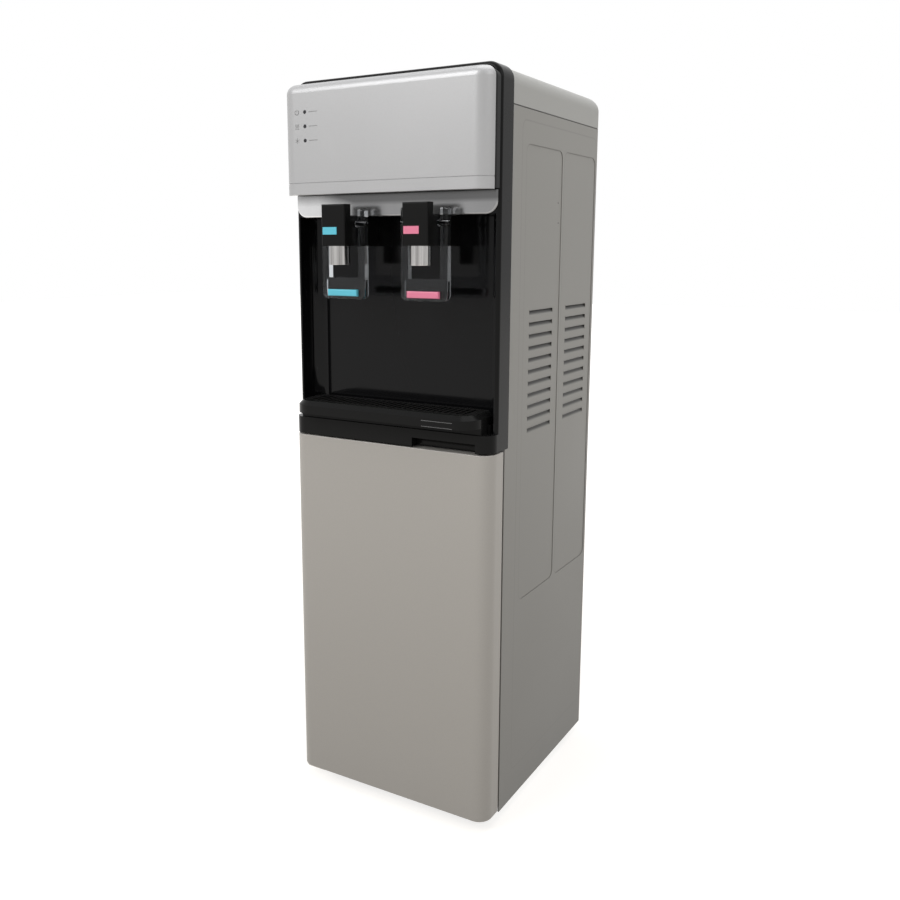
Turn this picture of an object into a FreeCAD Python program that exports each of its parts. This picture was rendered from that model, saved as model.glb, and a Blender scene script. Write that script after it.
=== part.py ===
import FreeCAD, Part
import math
import os

# Bottom-load water cooler, free-standing.  Millimetres; X to the right seen from the front, the
# front faces -Y, Z up.  The origin is on the floor, in the middle of the object's width and depth.

# ---- cabinet ------------------------------------------------------------------------------------
CASE_W = 320.0            # width over the steel side panels
CASE_D = 308.0            # depth of the steel side panels at the door
COVER_H = 46.0            # top cover above the side panels
FOOT_H = 15.0             # floor to the cabinet's underside
SHEET = 1.5               # steel sheet
SHELL = 2.5               # moulded plastic walls
SETBACK = 10.0            # upper front edge of the side panels behind the lower one
FLANGE = 12.0             # folded edges of the sheet parts
BACK_IN = 24.0            # back panel ahead of the side panels' back edge

# ---- clearances ---------------------------------------------------------------------------------
FIT = 0.3                 # between a moving piece and its neighbour
SLIDE = 0.2               # under a piece that slides or lifts
RUN = 0.08                # radial, a pin in its bore

# ---- how far the front pieces stand ahead of the side panels' lower front edge ------------------
BEZEL_REACH = 24.0
DOOR_REACH = 43.6
PANEL_REACH = 54.5
PANEL_BACK_REACH = 39.0   # back edge of the silver fascia, on the frame's plinth
LIP_REACH = 66.0
TAP_REACH = 71.0
NOZZLE_REACH = 56.0
PADDLE_REACH = 48.0
HINGE_REACH = 28.0

# ---- heights above the cabinet's underside ------------------------------------------------------
DOOR_LOW = 3.0
DOOR_H = 524.0
DOOR_SEAM = 2.0           # between the door and the tray housing
APRON_H = 24.0            # height of the tray housing
BEZEL_H = 1018.0          # top of the black frame

# ---- what hangs down from the frame's top -------------------------------------------------------
SIDE_DROP = 48.0          # top of the steel side panels
PANEL_TOP_DROP = 8.0      # top of the control panel
PANEL_DROP = 154.0        # its lower edge
RECESS_DROP = 183.0       # ceiling of the dispensing recess
TANK_SHELF_DROP = 296.0   # tank shelf

# ---- front corners and edges --------------------------------------------------------------------
FRONT_R = 20.0            # vertical front corners of the door and the tray housing
PANEL_R = 22.0            # vertical front corners of the control panel
PANEL_TOP_R = 13.0        # upper edge of the control panel
BEZEL_TOP_R = 20.0        # upper corners of the bezel
BEZEL_EDGE_R = 5.0        # front edge of the bezel
COVER_R = 21.0            # long upper edges of the top cover
ARM_W = 4.0               # thickness of the bezel's arms
SPLASH_T = 3.0
COVE_R = 20.0             # vertical coves of the splash panel
LINING = 1.5              # splash panel's lining of the arms
TONGUE_D = 12.0           # fixing tongues inside the side panels

# ---- control panel ------------------------------------------------------------------------------
PLINTH_IN = 1.5           # frame's plinth inside the fascia's outline
PLINTH_T = 3.0
GROOVE_UP = 14.6          # shadow groove above the panel's lower edge
GROOVE_H = 1.2
GROOVE_D = 0.9
LAMP_IN = 41.0            # lamps' axes from the panel's left side
LAMP_UP = 71.0            # lowest lamp above the panel's lower edge
LAMP_PITCH = 18.5
LAMP_R = 2.6
LAMP_FLANGE = 4.0
BOARD_T = 1.6
BOARD_W = 52.0
CHIN_T = 3.0
CHIN_R = 16.0
CHIN_IN = 3.0             # ends of the bright trim inside the arms' outer faces

# ---- taps ---------------------------------------------------------------------------------------
TAP_SPACING = 127.0
TAP_W = 38.0
TAP_DROP = 40.0           # housings' undersides below the recess's ceiling
TAP_H = 54.5
HEAD_D = 14.0             # depth of the head that stands up before the bright trim
SHANK_UP = 20.0           # water way above the housing's underside
SHANK_R = 9.0
SHANK_L = 18.0
NUT_R = 14.0
NUT_T = 6.0
BADGE_W = 22.5
BADGE_H = 9.7
BADGE_SHIFT = 5.0         # badge's middle to the left of the housing's
BADGE_UP = 15.0
BADGE_T = 0.8
NOZZLE_R = 14.0
NOZZLE_H = 25.0
STEM_R = 5.0
STEM_L = 24.0
STEM_ROOF = 4.0           # housing above the return spring
STEM_UP = 1.0             # underside of the stem above the housing's underside
STEM_LIFT = 3.0
COIL_WIRE = 0.5           # return spring wire radius
COIL_MEAN = 3.6
COIL_LOOPS = 4
PADDLE_W = 70.0
PADDLE_ARM = 11.0
PADDLE_DROP = 111.0       # paddles' lower edges below the recess's ceiling
PLATE_H = 29.0            # height of the plate that a cup pushes
PLATE_T = 4.0
PADDLE_D = 9.0
PADDLE_R = 9.0
PIN_R = 2.5
PIN_RISE = 29.0           # pins above the housings' undersides
PADDLE_H = 120.0
BOSS_R = 6.0
BAR_W = 48.0
BAR_H = 9.0
BAR_T = 4.5
BAR_UP = 4.0

# ---- drip tray ----------------------------------------------------------------------------------
TRAY_IN = 15.0            # tray's sides inside the cabinet's
TRAY_H = 27.0
TRAY_R = 28.0
TRAY_BACK_R = 16.0
TRAY_WALL = 2.5
TRAY_BEVEL = 6.0
TRAY_BACK_GAP = 2.0
LIP_RISE = 9.0            # underside of the front lip above the shelf
RIM_FRONT = 10.0          # grille's front edge behind the lip
RIM = 8.0
RIM_R = 20.0              # grille's front corners
GRILLE_T = 3.0
GRILLE_MARGIN = 8.0
SLOT_W = 4.0
SLOT_PITCH = 9.0
GUIDE_W = 4.0
GUIDE_H = 12.0
SCOOP_IN = 70.0           # middle of the finger scoop from the right side
SCOOP_W = 96.0
SCOOP_D = 14.0
SCOOP_H = 12.0
SCOOP_R = 7.0

# ---- door ---------------------------------------------------------------------------------------
DOOR_SKIN = 2.0
DOOR_GAP = 3.0            # door to the side panels' front edge
DOOR_REAR_R = 1.5
DOOR_EDGE_R = 1.5
LINER_D = 6.0
LINER_RIM = 30.0
LINER_RIBS = 4
HINGE_IN = 12.0           # hinge pin from the door's left side
HINGE_PIN_R = 3.0
HINGE_PIN_L = 14.0
BRACKET_T = 2.0
BRACKET_W = 40.0
MAGNET_W = 44.0
MAGNET_H = 8.0

# ---- side panel pressings -----------------------------------------------------------------------
LOUVRE_CLEAR = 5.0        # lowest louvre above the machine deck
LOUVRE_PITCH = 16.3
LOUVRE_L = 80.0
LOUVRE_H = 9.0
LOUVRE_D = 4.0
LOUVRE_DROP = 13.0        # top louvre below the tank shelf
LOUVRE_FRONT = 71.0       # first column's front end behind the front edge
LOUVRE_BACK = 109.0       # second column's front end ahead of the back edge
PRESS_D = 0.7
PRESS_R = 12.0
PRESS_LOW = 300.0
PRESS_DROP = 44.0         # pressed fields' top below the side panels'
PRESS_LEAD = 19.0         # pressed field's front edge ahead of its louvres
PRESS_LAND = 5.0          # least land between the two fields
COVER_GROOVE = 0.8        # shadow groove under the top cover

# ---- inside -------------------------------------------------------------------------------------
FOOT_R = 16.0
FOOT_PAD = 9.0
FOOT_NECK = 7.0
FOOT_STEM = 4.0
FOOT_IN_X = 28.0
FOOT_IN_FRONT = 30.0
FOOT_IN_BACK = 54.0
FLOOR_H = 16.5            # moulded bottle floor
COMP_IN = 14.5            # compressor's plate inside the left side panel
PLATE_RIM = 12.0          # plate's edges outside its mounts
COMP_BACK = 85.0          # compressor's axis ahead of the back panel
COMP_R = 62.0
COMP_CLEAR = 19.0         # compressor's top below the tank shelf's folds
COMP_TOP_R = 26.0
COMP_LOW_R = 12.0
TERMINAL_OUT = 14.0
TERMINAL_W = 44.0
COMP_FOOT_X = 62.0
COMP_FOOT_Y = 43.0
GROMMET_H = 12.0
GROMMET_R = 11.0
COLD_IN = 8.5             # cold tank's foam inside the left side panel
COLD_H = 140.0
HOT_IN = 6.5              # hot tank's foam inside the right side panel
MIDDLE_WAY = 32.0         # between the foam of both tanks
HOT_H = 120.0
TAP_WAY = 31.0            # from the splash panel's face to the foam, for the taps' hoses
BOX_WAY = 29.0            # from the foam to the control box
FOAM = 24.0
FOAM_SIDE = 12.0
HOT_FOAM = 16.0
BAND_T = 2.0
BAND_H = 40.0
COIL_R = 3.5
COIL_TURNS = 6
COIL_H = 90.0
COIL_UP = 25.0            # coil's first turn above the cold tank's underside
BAND_UP = 30.0            # band above the hot tank's underside
PIPE_R = 4.0
PIPE_BEND = 5.0
TUBE_R = 2.5
TUBE_LOW = 90.0
TUBE_RUNS = 15
TUBE_DROP = 41.0          # compressor's pipes below its top
TUBE_IN = 44.0            # ends of the condenser's runs inside the cabinet's sides
RISER_OUT = 14.0          # condenser's riser outside its runs
TUBE_BEND = 8.0
STAY_IN = 20.0
STAY_W = 10.0
STAY_H = 8.0
WIRE_OVER = 12.0          # wires' ends past the outer runs
WIRE_IN = 15.0
TUBE_OFF = 8.0            # condenser tube's middle behind the back panel
WIRE_R = 0.9
WIRE_COUNT = 13
CAPILLARY_R = 1.2
DRIER_X = 32.0
DRIER_R = 9.0
DRIER_SHARE = 0.56        # drier's length in the height from the machine deck to its top
DRIER_DROP = 32.0         # drier's top below the tank shelf
DRIER_IN = 36.0           # drier's axis ahead of the back panel
DRIER_CONE = 12.0
LINE_R = 3.0              # drier's ends
CAPILLARY_OUT = 18.0      # capillary's riser beside the drier
PUMP_IN = 50.0            # pump's middle from the probe's axis
PUMP_R = 22.0
PUMP_L = 56.0
PUMP_UP = 55.0            # pump's axis above the machine deck
PROBE_SIDE = 20.5         # probe's axis from the right side panel
PROBE_IN = 24.0
PROBE_R = 6.0
PROBE_LOW = 60.0
PROBE_CLEAR = 69.0        # probe's tube below the machine deck
CAP_R = 15.0
CAP_H = 18.0
BOX_X = -25.0
BOX_W = 54.0
BOX_D = 40.0
BOX_RISE = 53.0           # box above the tank shelf
BOX_H = 120.0
SWITCH_SIDE = 38.5        # first switch from the left side panel
SWITCH_PITCH = 34.0
SWITCH_RISE = 70.0        # switches above the tank shelf
SWITCH_W = 16.0
SWITCH_H = 24.0
SWITCH_D = 16.0
SWITCH_RIM = 2.0
ROCK = 8.0                # degrees a rocker leans to either side
GLAND_X = -25.0
GLAND_RISE = 18.0         # gland above the tank shelf
GLAND_R = 9.0
GLAND_BORE = 4.0
DRAIN_UP = 14.0           # drain pipe above the hot tank's underside
DRAIN_R = 10.0
DRAIN_BORE = 6.0
DRAIN_L = 14.0
CAP_WALL = 2.5
SCREW_R = 1.5
SCREW_HEAD = 3.6
SCREW_IN = 35.0

# ---- places worked out from them ----------------------------------------------------------------
EDGE_Y = (TAP_REACH + BADGE_T - CASE_D) / 2.0
EDGE_UP_Y = EDGE_Y + SETBACK
BACK_Y = EDGE_Y + CASE_D
SHEET_Y = BACK_Y - BACK_IN
HALF_W = CASE_W / 2.0
INNER_W = HALF_W - SHEET
TONGUE_X = INNER_W - ARM_W
DOOR_TOP = DOOR_LOW + DOOR_H
APRON_LOW = DOOR_TOP + DOOR_SEAM
SHELF_TOP = APRON_LOW + APRON_H
DOOR_BACK_Y = EDGE_Y - DOOR_GAP
HINGE_X = -HALF_W + HINGE_IN
HINGE_Y = EDGE_Y - HINGE_REACH
SIDE_H = BEZEL_H - SIDE_DROP
PANEL_LOW = BEZEL_H - PANEL_DROP
PANEL_H = PANEL_DROP - PANEL_TOP_DROP
RECESS_TOP = BEZEL_H - RECESS_DROP
TANK_SHELF_UP = BEZEL_H - TANK_SHELF_DROP
LAMP_X = -HALF_W + LAMP_IN
TAP_LOW = RECESS_TOP - TAP_DROP
PADDLE_LOW = RECESS_TOP - PADDLE_DROP
PIN_UP = TAP_LOW + PIN_RISE
TRAY_W = CASE_W - 2.0 * TRAY_IN
SCOOP_X = HALF_W - SCOOP_IN
TAP_X = {"cold": -TAP_SPACING / 2.0, "hot": TAP_SPACING / 2.0}
NOZZLE_Y = EDGE_Y - NOZZLE_REACH
PADDLE_Y = EDGE_Y - PADDLE_REACH
PIN_Y = PADDLE_Y + PADDLE_D / 2.0
CHIN_LOW = RECESS_TOP - 1.0
LOUVRE_TOP = TANK_SHELF_UP - LOUVRE_DROP
LOUVRE_REAR = CASE_D - LOUVRE_BACK
PRESS_TRAIL = min(22.0, LOUVRE_REAR - LOUVRE_FRONT - LOUVRE_L - PRESS_LEAD - PRESS_LAND)
LOUVRE_ROWS = 1 + int((LOUVRE_TOP - LOUVRE_H - SHEET - LOUVRE_CLEAR - APRON_LOW) // LOUVRE_PITCH)
PRESS_TOP = SIDE_H - PRESS_DROP
COMP_X = -INNER_W + COMP_IN + PLATE_RIM + COMP_FOOT_X
COMP_Y = SHEET_Y - COMP_BACK
COMP_H = TANK_SHELF_UP - FLANGE - COMP_CLEAR - GROMMET_H - APRON_LOW
TUBE_Y = SHEET_Y + SHEET + TUBE_OFF
TUBE_TOP = APRON_LOW + GROMMET_H + COMP_H - TUBE_DROP
TUBE_PITCH = (TUBE_TOP - TUBE_LOW) / (TUBE_RUNS - 1)
TUBE_SPAN = CASE_W - 2.0 * TUBE_IN
COLD_SPAN = INNER_W - COLD_IN
COLD_X = -COLD_SPAN / 2.0
COLD_FOAM_R = COLD_SPAN / 2.0 - FOAM_SIDE
COLD_R = COLD_FOAM_R - 2.0 * COIL_R - 1.0
COIL_MEAN_R = COLD_R + COIL_R + RUN
HOT_SPAN = INNER_W - HOT_IN - MIDDLE_WAY
HOT_X = MIDDLE_WAY + HOT_SPAN / 2.0
HOT_FOAM_R = HOT_SPAN / 2.0 - HOT_FOAM
HOT_R = HOT_FOAM_R - BAND_T
FOAM_SPAN = SHEET_Y - BOX_D - BOX_WAY - EDGE_UP_Y - TAP_WAY
TANK_Y = EDGE_UP_Y + TAP_WAY + FOAM_SPAN / 2.0
DRIER_L = DRIER_SHARE * (TANK_SHELF_UP - DRIER_DROP - APRON_LOW)
DRIER_UP = TANK_SHELF_UP - DRIER_DROP - DRIER_L
DRIER_Y = SHEET_Y - DRIER_IN
PROBE_X = INNER_W - PROBE_SIDE
PROBE_Y = SHEET_Y - PROBE_IN
PROBE_L = APRON_LOW - PROBE_CLEAR - PROBE_LOW
PUMP_X = PROBE_X - PUMP_IN
BOX_UP = TANK_SHELF_UP + BOX_RISE
SWITCH_X = (-INNER_W + SWITCH_SIDE, -INNER_W + SWITCH_SIDE + SWITCH_PITCH)
SWITCH_UP = TANK_SHELF_UP + SWITCH_RISE
GLAND_UP = TANK_SHELF_UP + GLAND_RISE
SCREW_X = HALF_W - SCREW_IN
LAMP_UPS = [PANEL_LOW + LAMP_UP + k * LAMP_PITCH for k in range(3)]


def ahead(reach):
    """Y of a face that stands reach ahead of the side panels' lower front edge."""
    return EDGE_Y - reach


def up(height):
    """Z of a height above the cabinet's underside."""
    return FOOT_H + height


def block(x0, x1, y0, y1, z0, z1):
    """A box between two corners."""
    return Part.makeBox(x1 - x0, y1 - y0, z1 - z0, FreeCAD.Vector(x0, y0, z0))


def side_block(sign, x0, x1, y0, y1, z0, z1):
    """A box on the left (-1) or right (1) side, its x sizes counted from the middle."""
    low, high = sorted((sign * x0, sign * x1))
    return block(low, high, y0, y1, z0, z1)


def rod(radius, start, end):
    """A cylinder from one point to another."""
    a = FreeCAD.Vector(*start)
    b = FreeCAD.Vector(*end)
    return Part.makeCylinder(radius, (b - a).Length, a, b - a)


def prism(points, sweep):
    """A polygon extruded along a vector."""
    corners = [FreeCAD.Vector(*p) for p in points]
    face = Part.Face(Part.makePolygon(corners + corners[:1]))
    return face.extrude(FreeCAD.Vector(*sweep))


def edges_on(shape, planes):
    """Edges that lie on every plane of a set such as {"x": 10, "y": 0}."""
    picked = []
    for edge in shape.Edges:
        box = edge.BoundBox
        low = {"x": box.XMin, "y": box.YMin, "z": box.ZMin}
        high = {"x": box.XMax, "y": box.YMax, "z": box.ZMax}
        if all(abs(low[k] - v) < 1e-3 and abs(high[k] - v) < 1e-3 for k, v in planes.items()):
            picked.append(edge)
    return picked


def rounded(shape, radius, selections):
    """The shape with the edges on each set of planes rounded."""
    edges = []
    for planes in selections:
        edges.extend(edges_on(shape, planes))
    return shape.makeFillet(radius, edges)


def front_block(half_w, y_front, y_back, z0, z1, radius):
    """A box whose two vertical front edges are rounded."""
    body = block(-half_w, half_w, y_front, y_back, z0, z1)
    return rounded(body, radius, [{"x": s * half_w, "y": y_front} for s in (-1, 1)])


def bent_pipe(radius, points, bend):
    """A round pipe along straight runs joined by arcs of one radius."""
    spots = [FreeCAD.Vector(*p) for p in points]
    edges = []
    last = spots[0]
    for before, corner, after in zip(spots, spots[1:], spots[2:]):
        come = (corner - before).normalize()
        leave = (after - corner).normalize()
        turn = come.getAngle(leave)
        cut_back = bend * math.tan(turn / 2.0)
        start = corner - come * cut_back
        end = corner + leave * cut_back
        inward = (leave - come).normalize()
        middle = corner + inward * (bend / math.cos(turn / 2.0) - bend)
        edges.append(Part.LineSegment(last, start).toShape())
        edges.append(Part.Arc(start, middle, end).toShape())
        last = end
    edges.append(Part.LineSegment(last, spots[-1]).toShape())
    ring = Part.Wire(Part.Circle(spots[0], spots[1] - spots[0], radius).toShape())
    return Part.Wire(edges).makePipeShell([ring], True, True)


def arc_along(start, heading, end):
    """The arc that leaves a point along a heading and reaches another point."""
    chord = end - start
    along = FreeCAD.Vector(chord).normalize()
    side = (heading - along * heading.dot(along)).normalize()
    rise = math.tan(heading.getAngle(along) / 2.0) * chord.Length / 2.0
    return Part.Arc(start, start + chord / 2.0 + side * rise, end).toShape()


def spring_coil(wire, mean, pitch, turns, place):
    """A round wire wound up from a place in quarter-turn biarcs, its first end at +X of the axis."""
    centre = FreeCAD.Vector(*place)
    steps = 4 * turns
    spots, headings = [], []
    for k in range(steps + 1):
        turn = math.pi / 2.0 * k
        spots.append(centre + FreeCAD.Vector(mean * math.cos(turn), mean * math.sin(turn), pitch * k / 4.0))
        way = FreeCAD.Vector(-mean * math.sin(turn), mean * math.cos(turn), pitch / (2.0 * math.pi))
        headings.append(way.normalize())
    edges = []
    for p0, p1, t0, t1 in zip(spots, spots[1:], headings, headings[1:]):
        across, both = p1 - p0, t0 + t1
        spare = 2.0 * (1.0 - t0.dot(t1))
        lean = across.dot(both)
        reach = (math.sqrt(lean * lean + spare * across.dot(across)) - lean) / spare
        middle = (p0 + p1 + (t0 - t1) * reach) / 2.0
        edges.append(arc_along(p0, t0, middle))
        edges.append(arc_along(middle, (middle - p0 - t0 * reach).normalize(), p1))
    ring = Part.Wire(Part.Circle(spots[0], headings[0], wire).toShape())
    print("coil of", turns, "turns: least gap", round(pitch - 2.0 * wire, 2), "mm")
    return Part.Wire(edges).makePipeShell([ring], True, False)


def group(shapes):
    """Separate solids of one node."""
    return Part.Compound(list(shapes))


def screw_spots():
    """Places of the back panel's screws: x and height."""
    heights = (FLANGE / 2.0, APRON_LOW - FLANGE / 2.0)
    return [(x, h) for h in heights for x in (-SCREW_X, 0.0, SCREW_X)]


def screw_holes():
    """What the back panel's screws need cut away."""
    y0, y1 = SHEET_Y - SHEET - 1.0, SHEET_Y + SHEET + 1.0
    return [rod(SCREW_R, (x, y0, up(h)), (x, y1, up(h))) for x, h in screw_spots()]


def foot_spots():
    """Centres of the four feet."""
    x = HALF_W - FOOT_IN_X
    return [(s * x, y) for y in (EDGE_Y + FOOT_IN_FRONT, BACK_Y - FOOT_IN_BACK) for s in (-1, 1)]


def compressor_spots():
    """Centres of the compressor's rubber mounts."""
    return [(COMP_X + i * COMP_FOOT_X, COMP_Y + j * COMP_FOOT_Y) for i in (-1, 1) for j in (-1, 1)]


# ---- sheet-metal cabinet ------------------------------------------------------------------------
def louvre_cut(sign, y0, z_top):
    """The wedge pressed out of the sheet, deepest at its top edge."""
    face = sign * HALF_W
    deep = sign * (HALF_W - LOUVRE_D)
    points = [(face, y0, z_top - LOUVRE_H), (face, y0, z_top), (deep, y0, z_top)]
    return prism(points, (0, LOUVRE_L, 0))


def louvre_hood(sign, y0, z_top):
    """The pressed sheet behind one louvre, open at its top."""
    base = sign * INNER_W
    deep = sign * (INNER_W - LOUVRE_D)
    low = z_top - LOUVRE_H - SHEET
    points = [(base, y0 - SHEET, low), (base, y0 - SHEET, z_top), (deep, y0 - SHEET, z_top)]
    return prism(points, (0, LOUVRE_L + 2.0 * SHEET, 0))


def side_panel(sign):
    """One steel side with its pressed fields, louvres, folded back edge and setback front."""
    panel = side_block(sign, INNER_W, HALF_W, EDGE_Y, BACK_Y, up(0), up(SIDE_H))
    notch = side_block(sign, INNER_W - 1, HALF_W + 1, EDGE_Y - 1, EDGE_UP_Y, up(APRON_LOW), up(SIDE_H + 1))
    cuts = [notch]
    hoods = []
    for start in (LOUVRE_FRONT, LOUVRE_REAR):
        y0 = EDGE_Y + start - PRESS_LEAD
        y1 = y0 + PRESS_LEAD + LOUVRE_L + PRESS_TRAIL
        field = side_block(sign, HALF_W - PRESS_D, HALF_W + 1, y0, y1, up(PRESS_LOW), up(PRESS_TOP))
        corners = [{"y": y, "z": z} for y in (y0, y1) for z in (up(PRESS_LOW), up(PRESS_TOP))]
        cuts.append(rounded(field, PRESS_R, corners))
        for row in range(LOUVRE_ROWS):
            z_top = up(LOUVRE_TOP - row * LOUVRE_PITCH)
            cuts.append(louvre_cut(sign, EDGE_Y + start, z_top))
            hoods.append(louvre_hood(sign, EDGE_Y + start, z_top))
    fold = side_block(sign, INNER_W - FLANGE, INNER_W, BACK_Y - SHEET, BACK_Y, up(0), up(SIDE_H))
    return panel.fuse(hoods + [fold]).cut(cuts).removeSplitter()


def folded_sheet(y0, y1, z_flat, rise):
    """A sheet between the side panels, its four edges folded up (rise above 0) or down."""
    low, high = sorted((z_flat, z_flat + rise))
    outer = block(-INNER_W, INNER_W, y0, y1, low, high)
    in_low = low + SHEET if rise > 0 else low - 1.0
    in_high = high + 1.0 if rise > 0 else high - SHEET
    hollow = block(-INNER_W + SHEET, INNER_W - SHEET, y0 + SHEET, y1 - SHEET, in_low, in_high)
    return outer.cut(hollow)


def base_pan():
    """The cabinet's floor, its edges folded up."""
    floor = folded_sheet(EDGE_Y, SHEET_Y, up(0), FLANGE)
    holes = [rod(FOOT_STEM, (x, y, up(-1.0)), (x, y, up(SHEET + 1.0))) for x, y in foot_spots()]
    return floor.cut(holes + screw_holes())


def machine_deck():
    """The deck over the bottle compartment, its edges folded down."""
    deck = folded_sheet(EDGE_Y, SHEET_Y, up(APRON_LOW), -FLANGE)
    way = rod(PIPE_R + 1.5, (PROBE_X, PROBE_Y, up(APRON_LOW - 5.0)), (PROBE_X, PROBE_Y, up(APRON_LOW + 1.0)))
    return deck.cut([way] + screw_holes())


def tank_shelf():
    """The shelf that carries both tanks."""
    z = up(TANK_SHELF_UP)
    shelf = folded_sheet(EDGE_UP_Y + 23.0, SHEET_Y - 50.0, z, -FLANGE)
    x = COLD_X - COIL_MEAN_R
    return shelf.cut(rod(COIL_R + 1.0, (x, TANK_Y, z - 5.0), (x, TANK_Y, z + 1.0)))


def back_panel():
    """The back sheet with its openings and vent slots."""
    y0, y1 = SHEET_Y - 1.0, SHEET_Y + SHEET + 1.0
    sheet = block(-INNER_W, INNER_W, SHEET_Y, SHEET_Y + SHEET, up(0), up(SIDE_H))
    cuts = screw_holes()
    for x in SWITCH_X:
        z = up(SWITCH_UP)
        cuts.append(block(x - SWITCH_W / 2.0, x + SWITCH_W / 2.0, y0, y1, z, z + SWITCH_H))
    cuts.append(rod(GLAND_R, (GLAND_X, y0, up(GLAND_UP)), (GLAND_X, y1, up(GLAND_UP))))
    z_drain = drain_height()
    cuts.append(rod(DRAIN_R, (HOT_X, y0, z_drain), (HOT_X, y1, z_drain)))
    cuts.append(rod(TUBE_R + 1.5, (COMP_X, y0, up(TUBE_TOP)), (COMP_X, y1, up(TUBE_TOP))))
    z_return = up(DRIER_UP + DRIER_L + 10.0)
    cuts.append(rod(TUBE_R + 1.5, (DRIER_X, y0, z_return), (DRIER_X, y1, z_return)))
    for row in range(6):
        z = up(SIDE_H - 30.0 - row * 10.0)
        for x in (-80.0, 0.0, 80.0):
            cuts.append(block(x - 28.0, x + 28.0, y0, y1, z, z + 4.0))
    return sheet.cut(cuts)


def back_screws():
    """The screws that hold the back panel to the floor and the deck."""
    screws = []
    for x, h in screw_spots():
        y = SHEET_Y + SHEET
        head = Part.makeCone(SCREW_HEAD, SCREW_HEAD - 1.2, 2.0, FreeCAD.Vector(x, y, up(h)), FreeCAD.Vector(0, 1, 0))
        shank = rod(SCREW_R, (x, SHEET_Y - SHEET, up(h)), (x, y, up(h)))
        cross = block(x - 1.8, x + 1.8, y + 1.2, y + 3.0, up(h) - 0.4, up(h) + 0.4)
        bar = block(x - 0.4, x + 0.4, y + 1.2, y + 3.0, up(h) - 1.8, up(h) + 1.8)
        screws.append(head.fuse(shank).cut([cross, bar]).removeSplitter())
    return group(screws)


def levelling_feet():
    """Four screw feet: a tapered pad, a neck and a stem through the base pan."""
    feet = []
    for x, y in foot_spots():
        pad = Part.makeCone(FOOT_R, FOOT_R - 3.0, FOOT_PAD, FreeCAD.Vector(x, y, 0))
        neck = rod(FOOT_NECK, (x, y, FOOT_PAD), (x, y, FOOT_H))
        stem = rod(FOOT_STEM, (x, y, FOOT_H), (x, y, up(SHEET + 6.0)))
        feet.append(pad.fuse([neck, stem]).removeSplitter())
    return group(feet)


def bottle_floor():
    """The moulded floor that the bottle stands on, hollowed over the feet and grooved on top."""
    x = INNER_W - SHEET
    y0, y1 = EDGE_Y + SHEET, SHEET_Y - SHEET
    z0, z1 = up(SHEET), up(SHEET + FLOOR_H)
    floor = rounded(block(-x, x, y0, y1, z0, z1), 3.0, [{"y": y0, "z": z1}])
    cuts = [rod(FOOT_STEM + 3.0, (fx, fy, z0 - 1.0), (fx, fy, z0 + 8.0)) for fx, fy in foot_spots()]
    for k in range(9):
        gx = (k - 4) * 30.0
        cuts.append(block(gx - 4.0, gx + 4.0, y0 + 30.0, y1 - 40.0, z1 - 2.0, z1 + 1.0))
    return floor.cut(cuts)


# ---- plastic fronts -----------------------------------------------------------------------------
def cover_body(inset, low):
    """The lid's outline, drawn in by an inset from every outer face."""
    x = HALF_W - inset
    y0, y1 = EDGE_UP_Y + inset, BACK_Y - inset
    top = up(SIDE_H + COVER_H) - inset
    body = block(-x, x, y0, y1, low, top)
    rim = [e for e in edges_on(body, {"z": top}) if e.BoundBox.YMax > y0 + 1.0]
    return body.makeFillet(COVER_R - inset, rim)


def top_cover():
    """The moulded lid on the steel sides, with a locating skirt inside them."""
    z0 = up(SIDE_H)
    shell = cover_body(0.0, z0).cut(cover_body(SHELL, z0 - 1.0))
    x = INNER_W - SLIDE
    y0, y1 = EDGE_UP_Y + TONGUE_D + 2.0, SHEET_Y - SLIDE
    skirt = block(-x, x, y0, y1, z0 - 8.0, z0 + 4.0)
    skirt = skirt.cut(block(-x + 2.0, x - 2.0, y0 + 2.0, y1 - 2.0, z0 - 9.0, z0 + 5.0))
    wide = block(-HALF_W - 1.0, HALF_W + 1.0, EDGE_UP_Y - 1.0, BACK_Y + 1.0, z0 - 1.0, z0 + COVER_GROOVE)
    core = block(-HALF_W + COVER_GROOVE, HALF_W - COVER_GROOVE, EDGE_UP_Y - 2.0, BACK_Y - COVER_GROOVE, z0 - 2.0, z0 + 2.0)
    return shell.cut(wide.cut(core)).fuse(skirt).removeSplitter()


def bezel_plinth():
    """The raised rim on the frame that carries the control panel."""
    y0, y1 = ahead(PANEL_BACK_REACH), ahead(BEZEL_REACH)
    rim = panel_body(PLINTH_IN, y1).cut(panel_body(PLINTH_IN + PLINTH_T, y1 + 1.0))
    return rim.common(block(-HALF_W, HALF_W, y0, y1, up(PANEL_LOW), up(PANEL_LOW + PANEL_H)))


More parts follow.
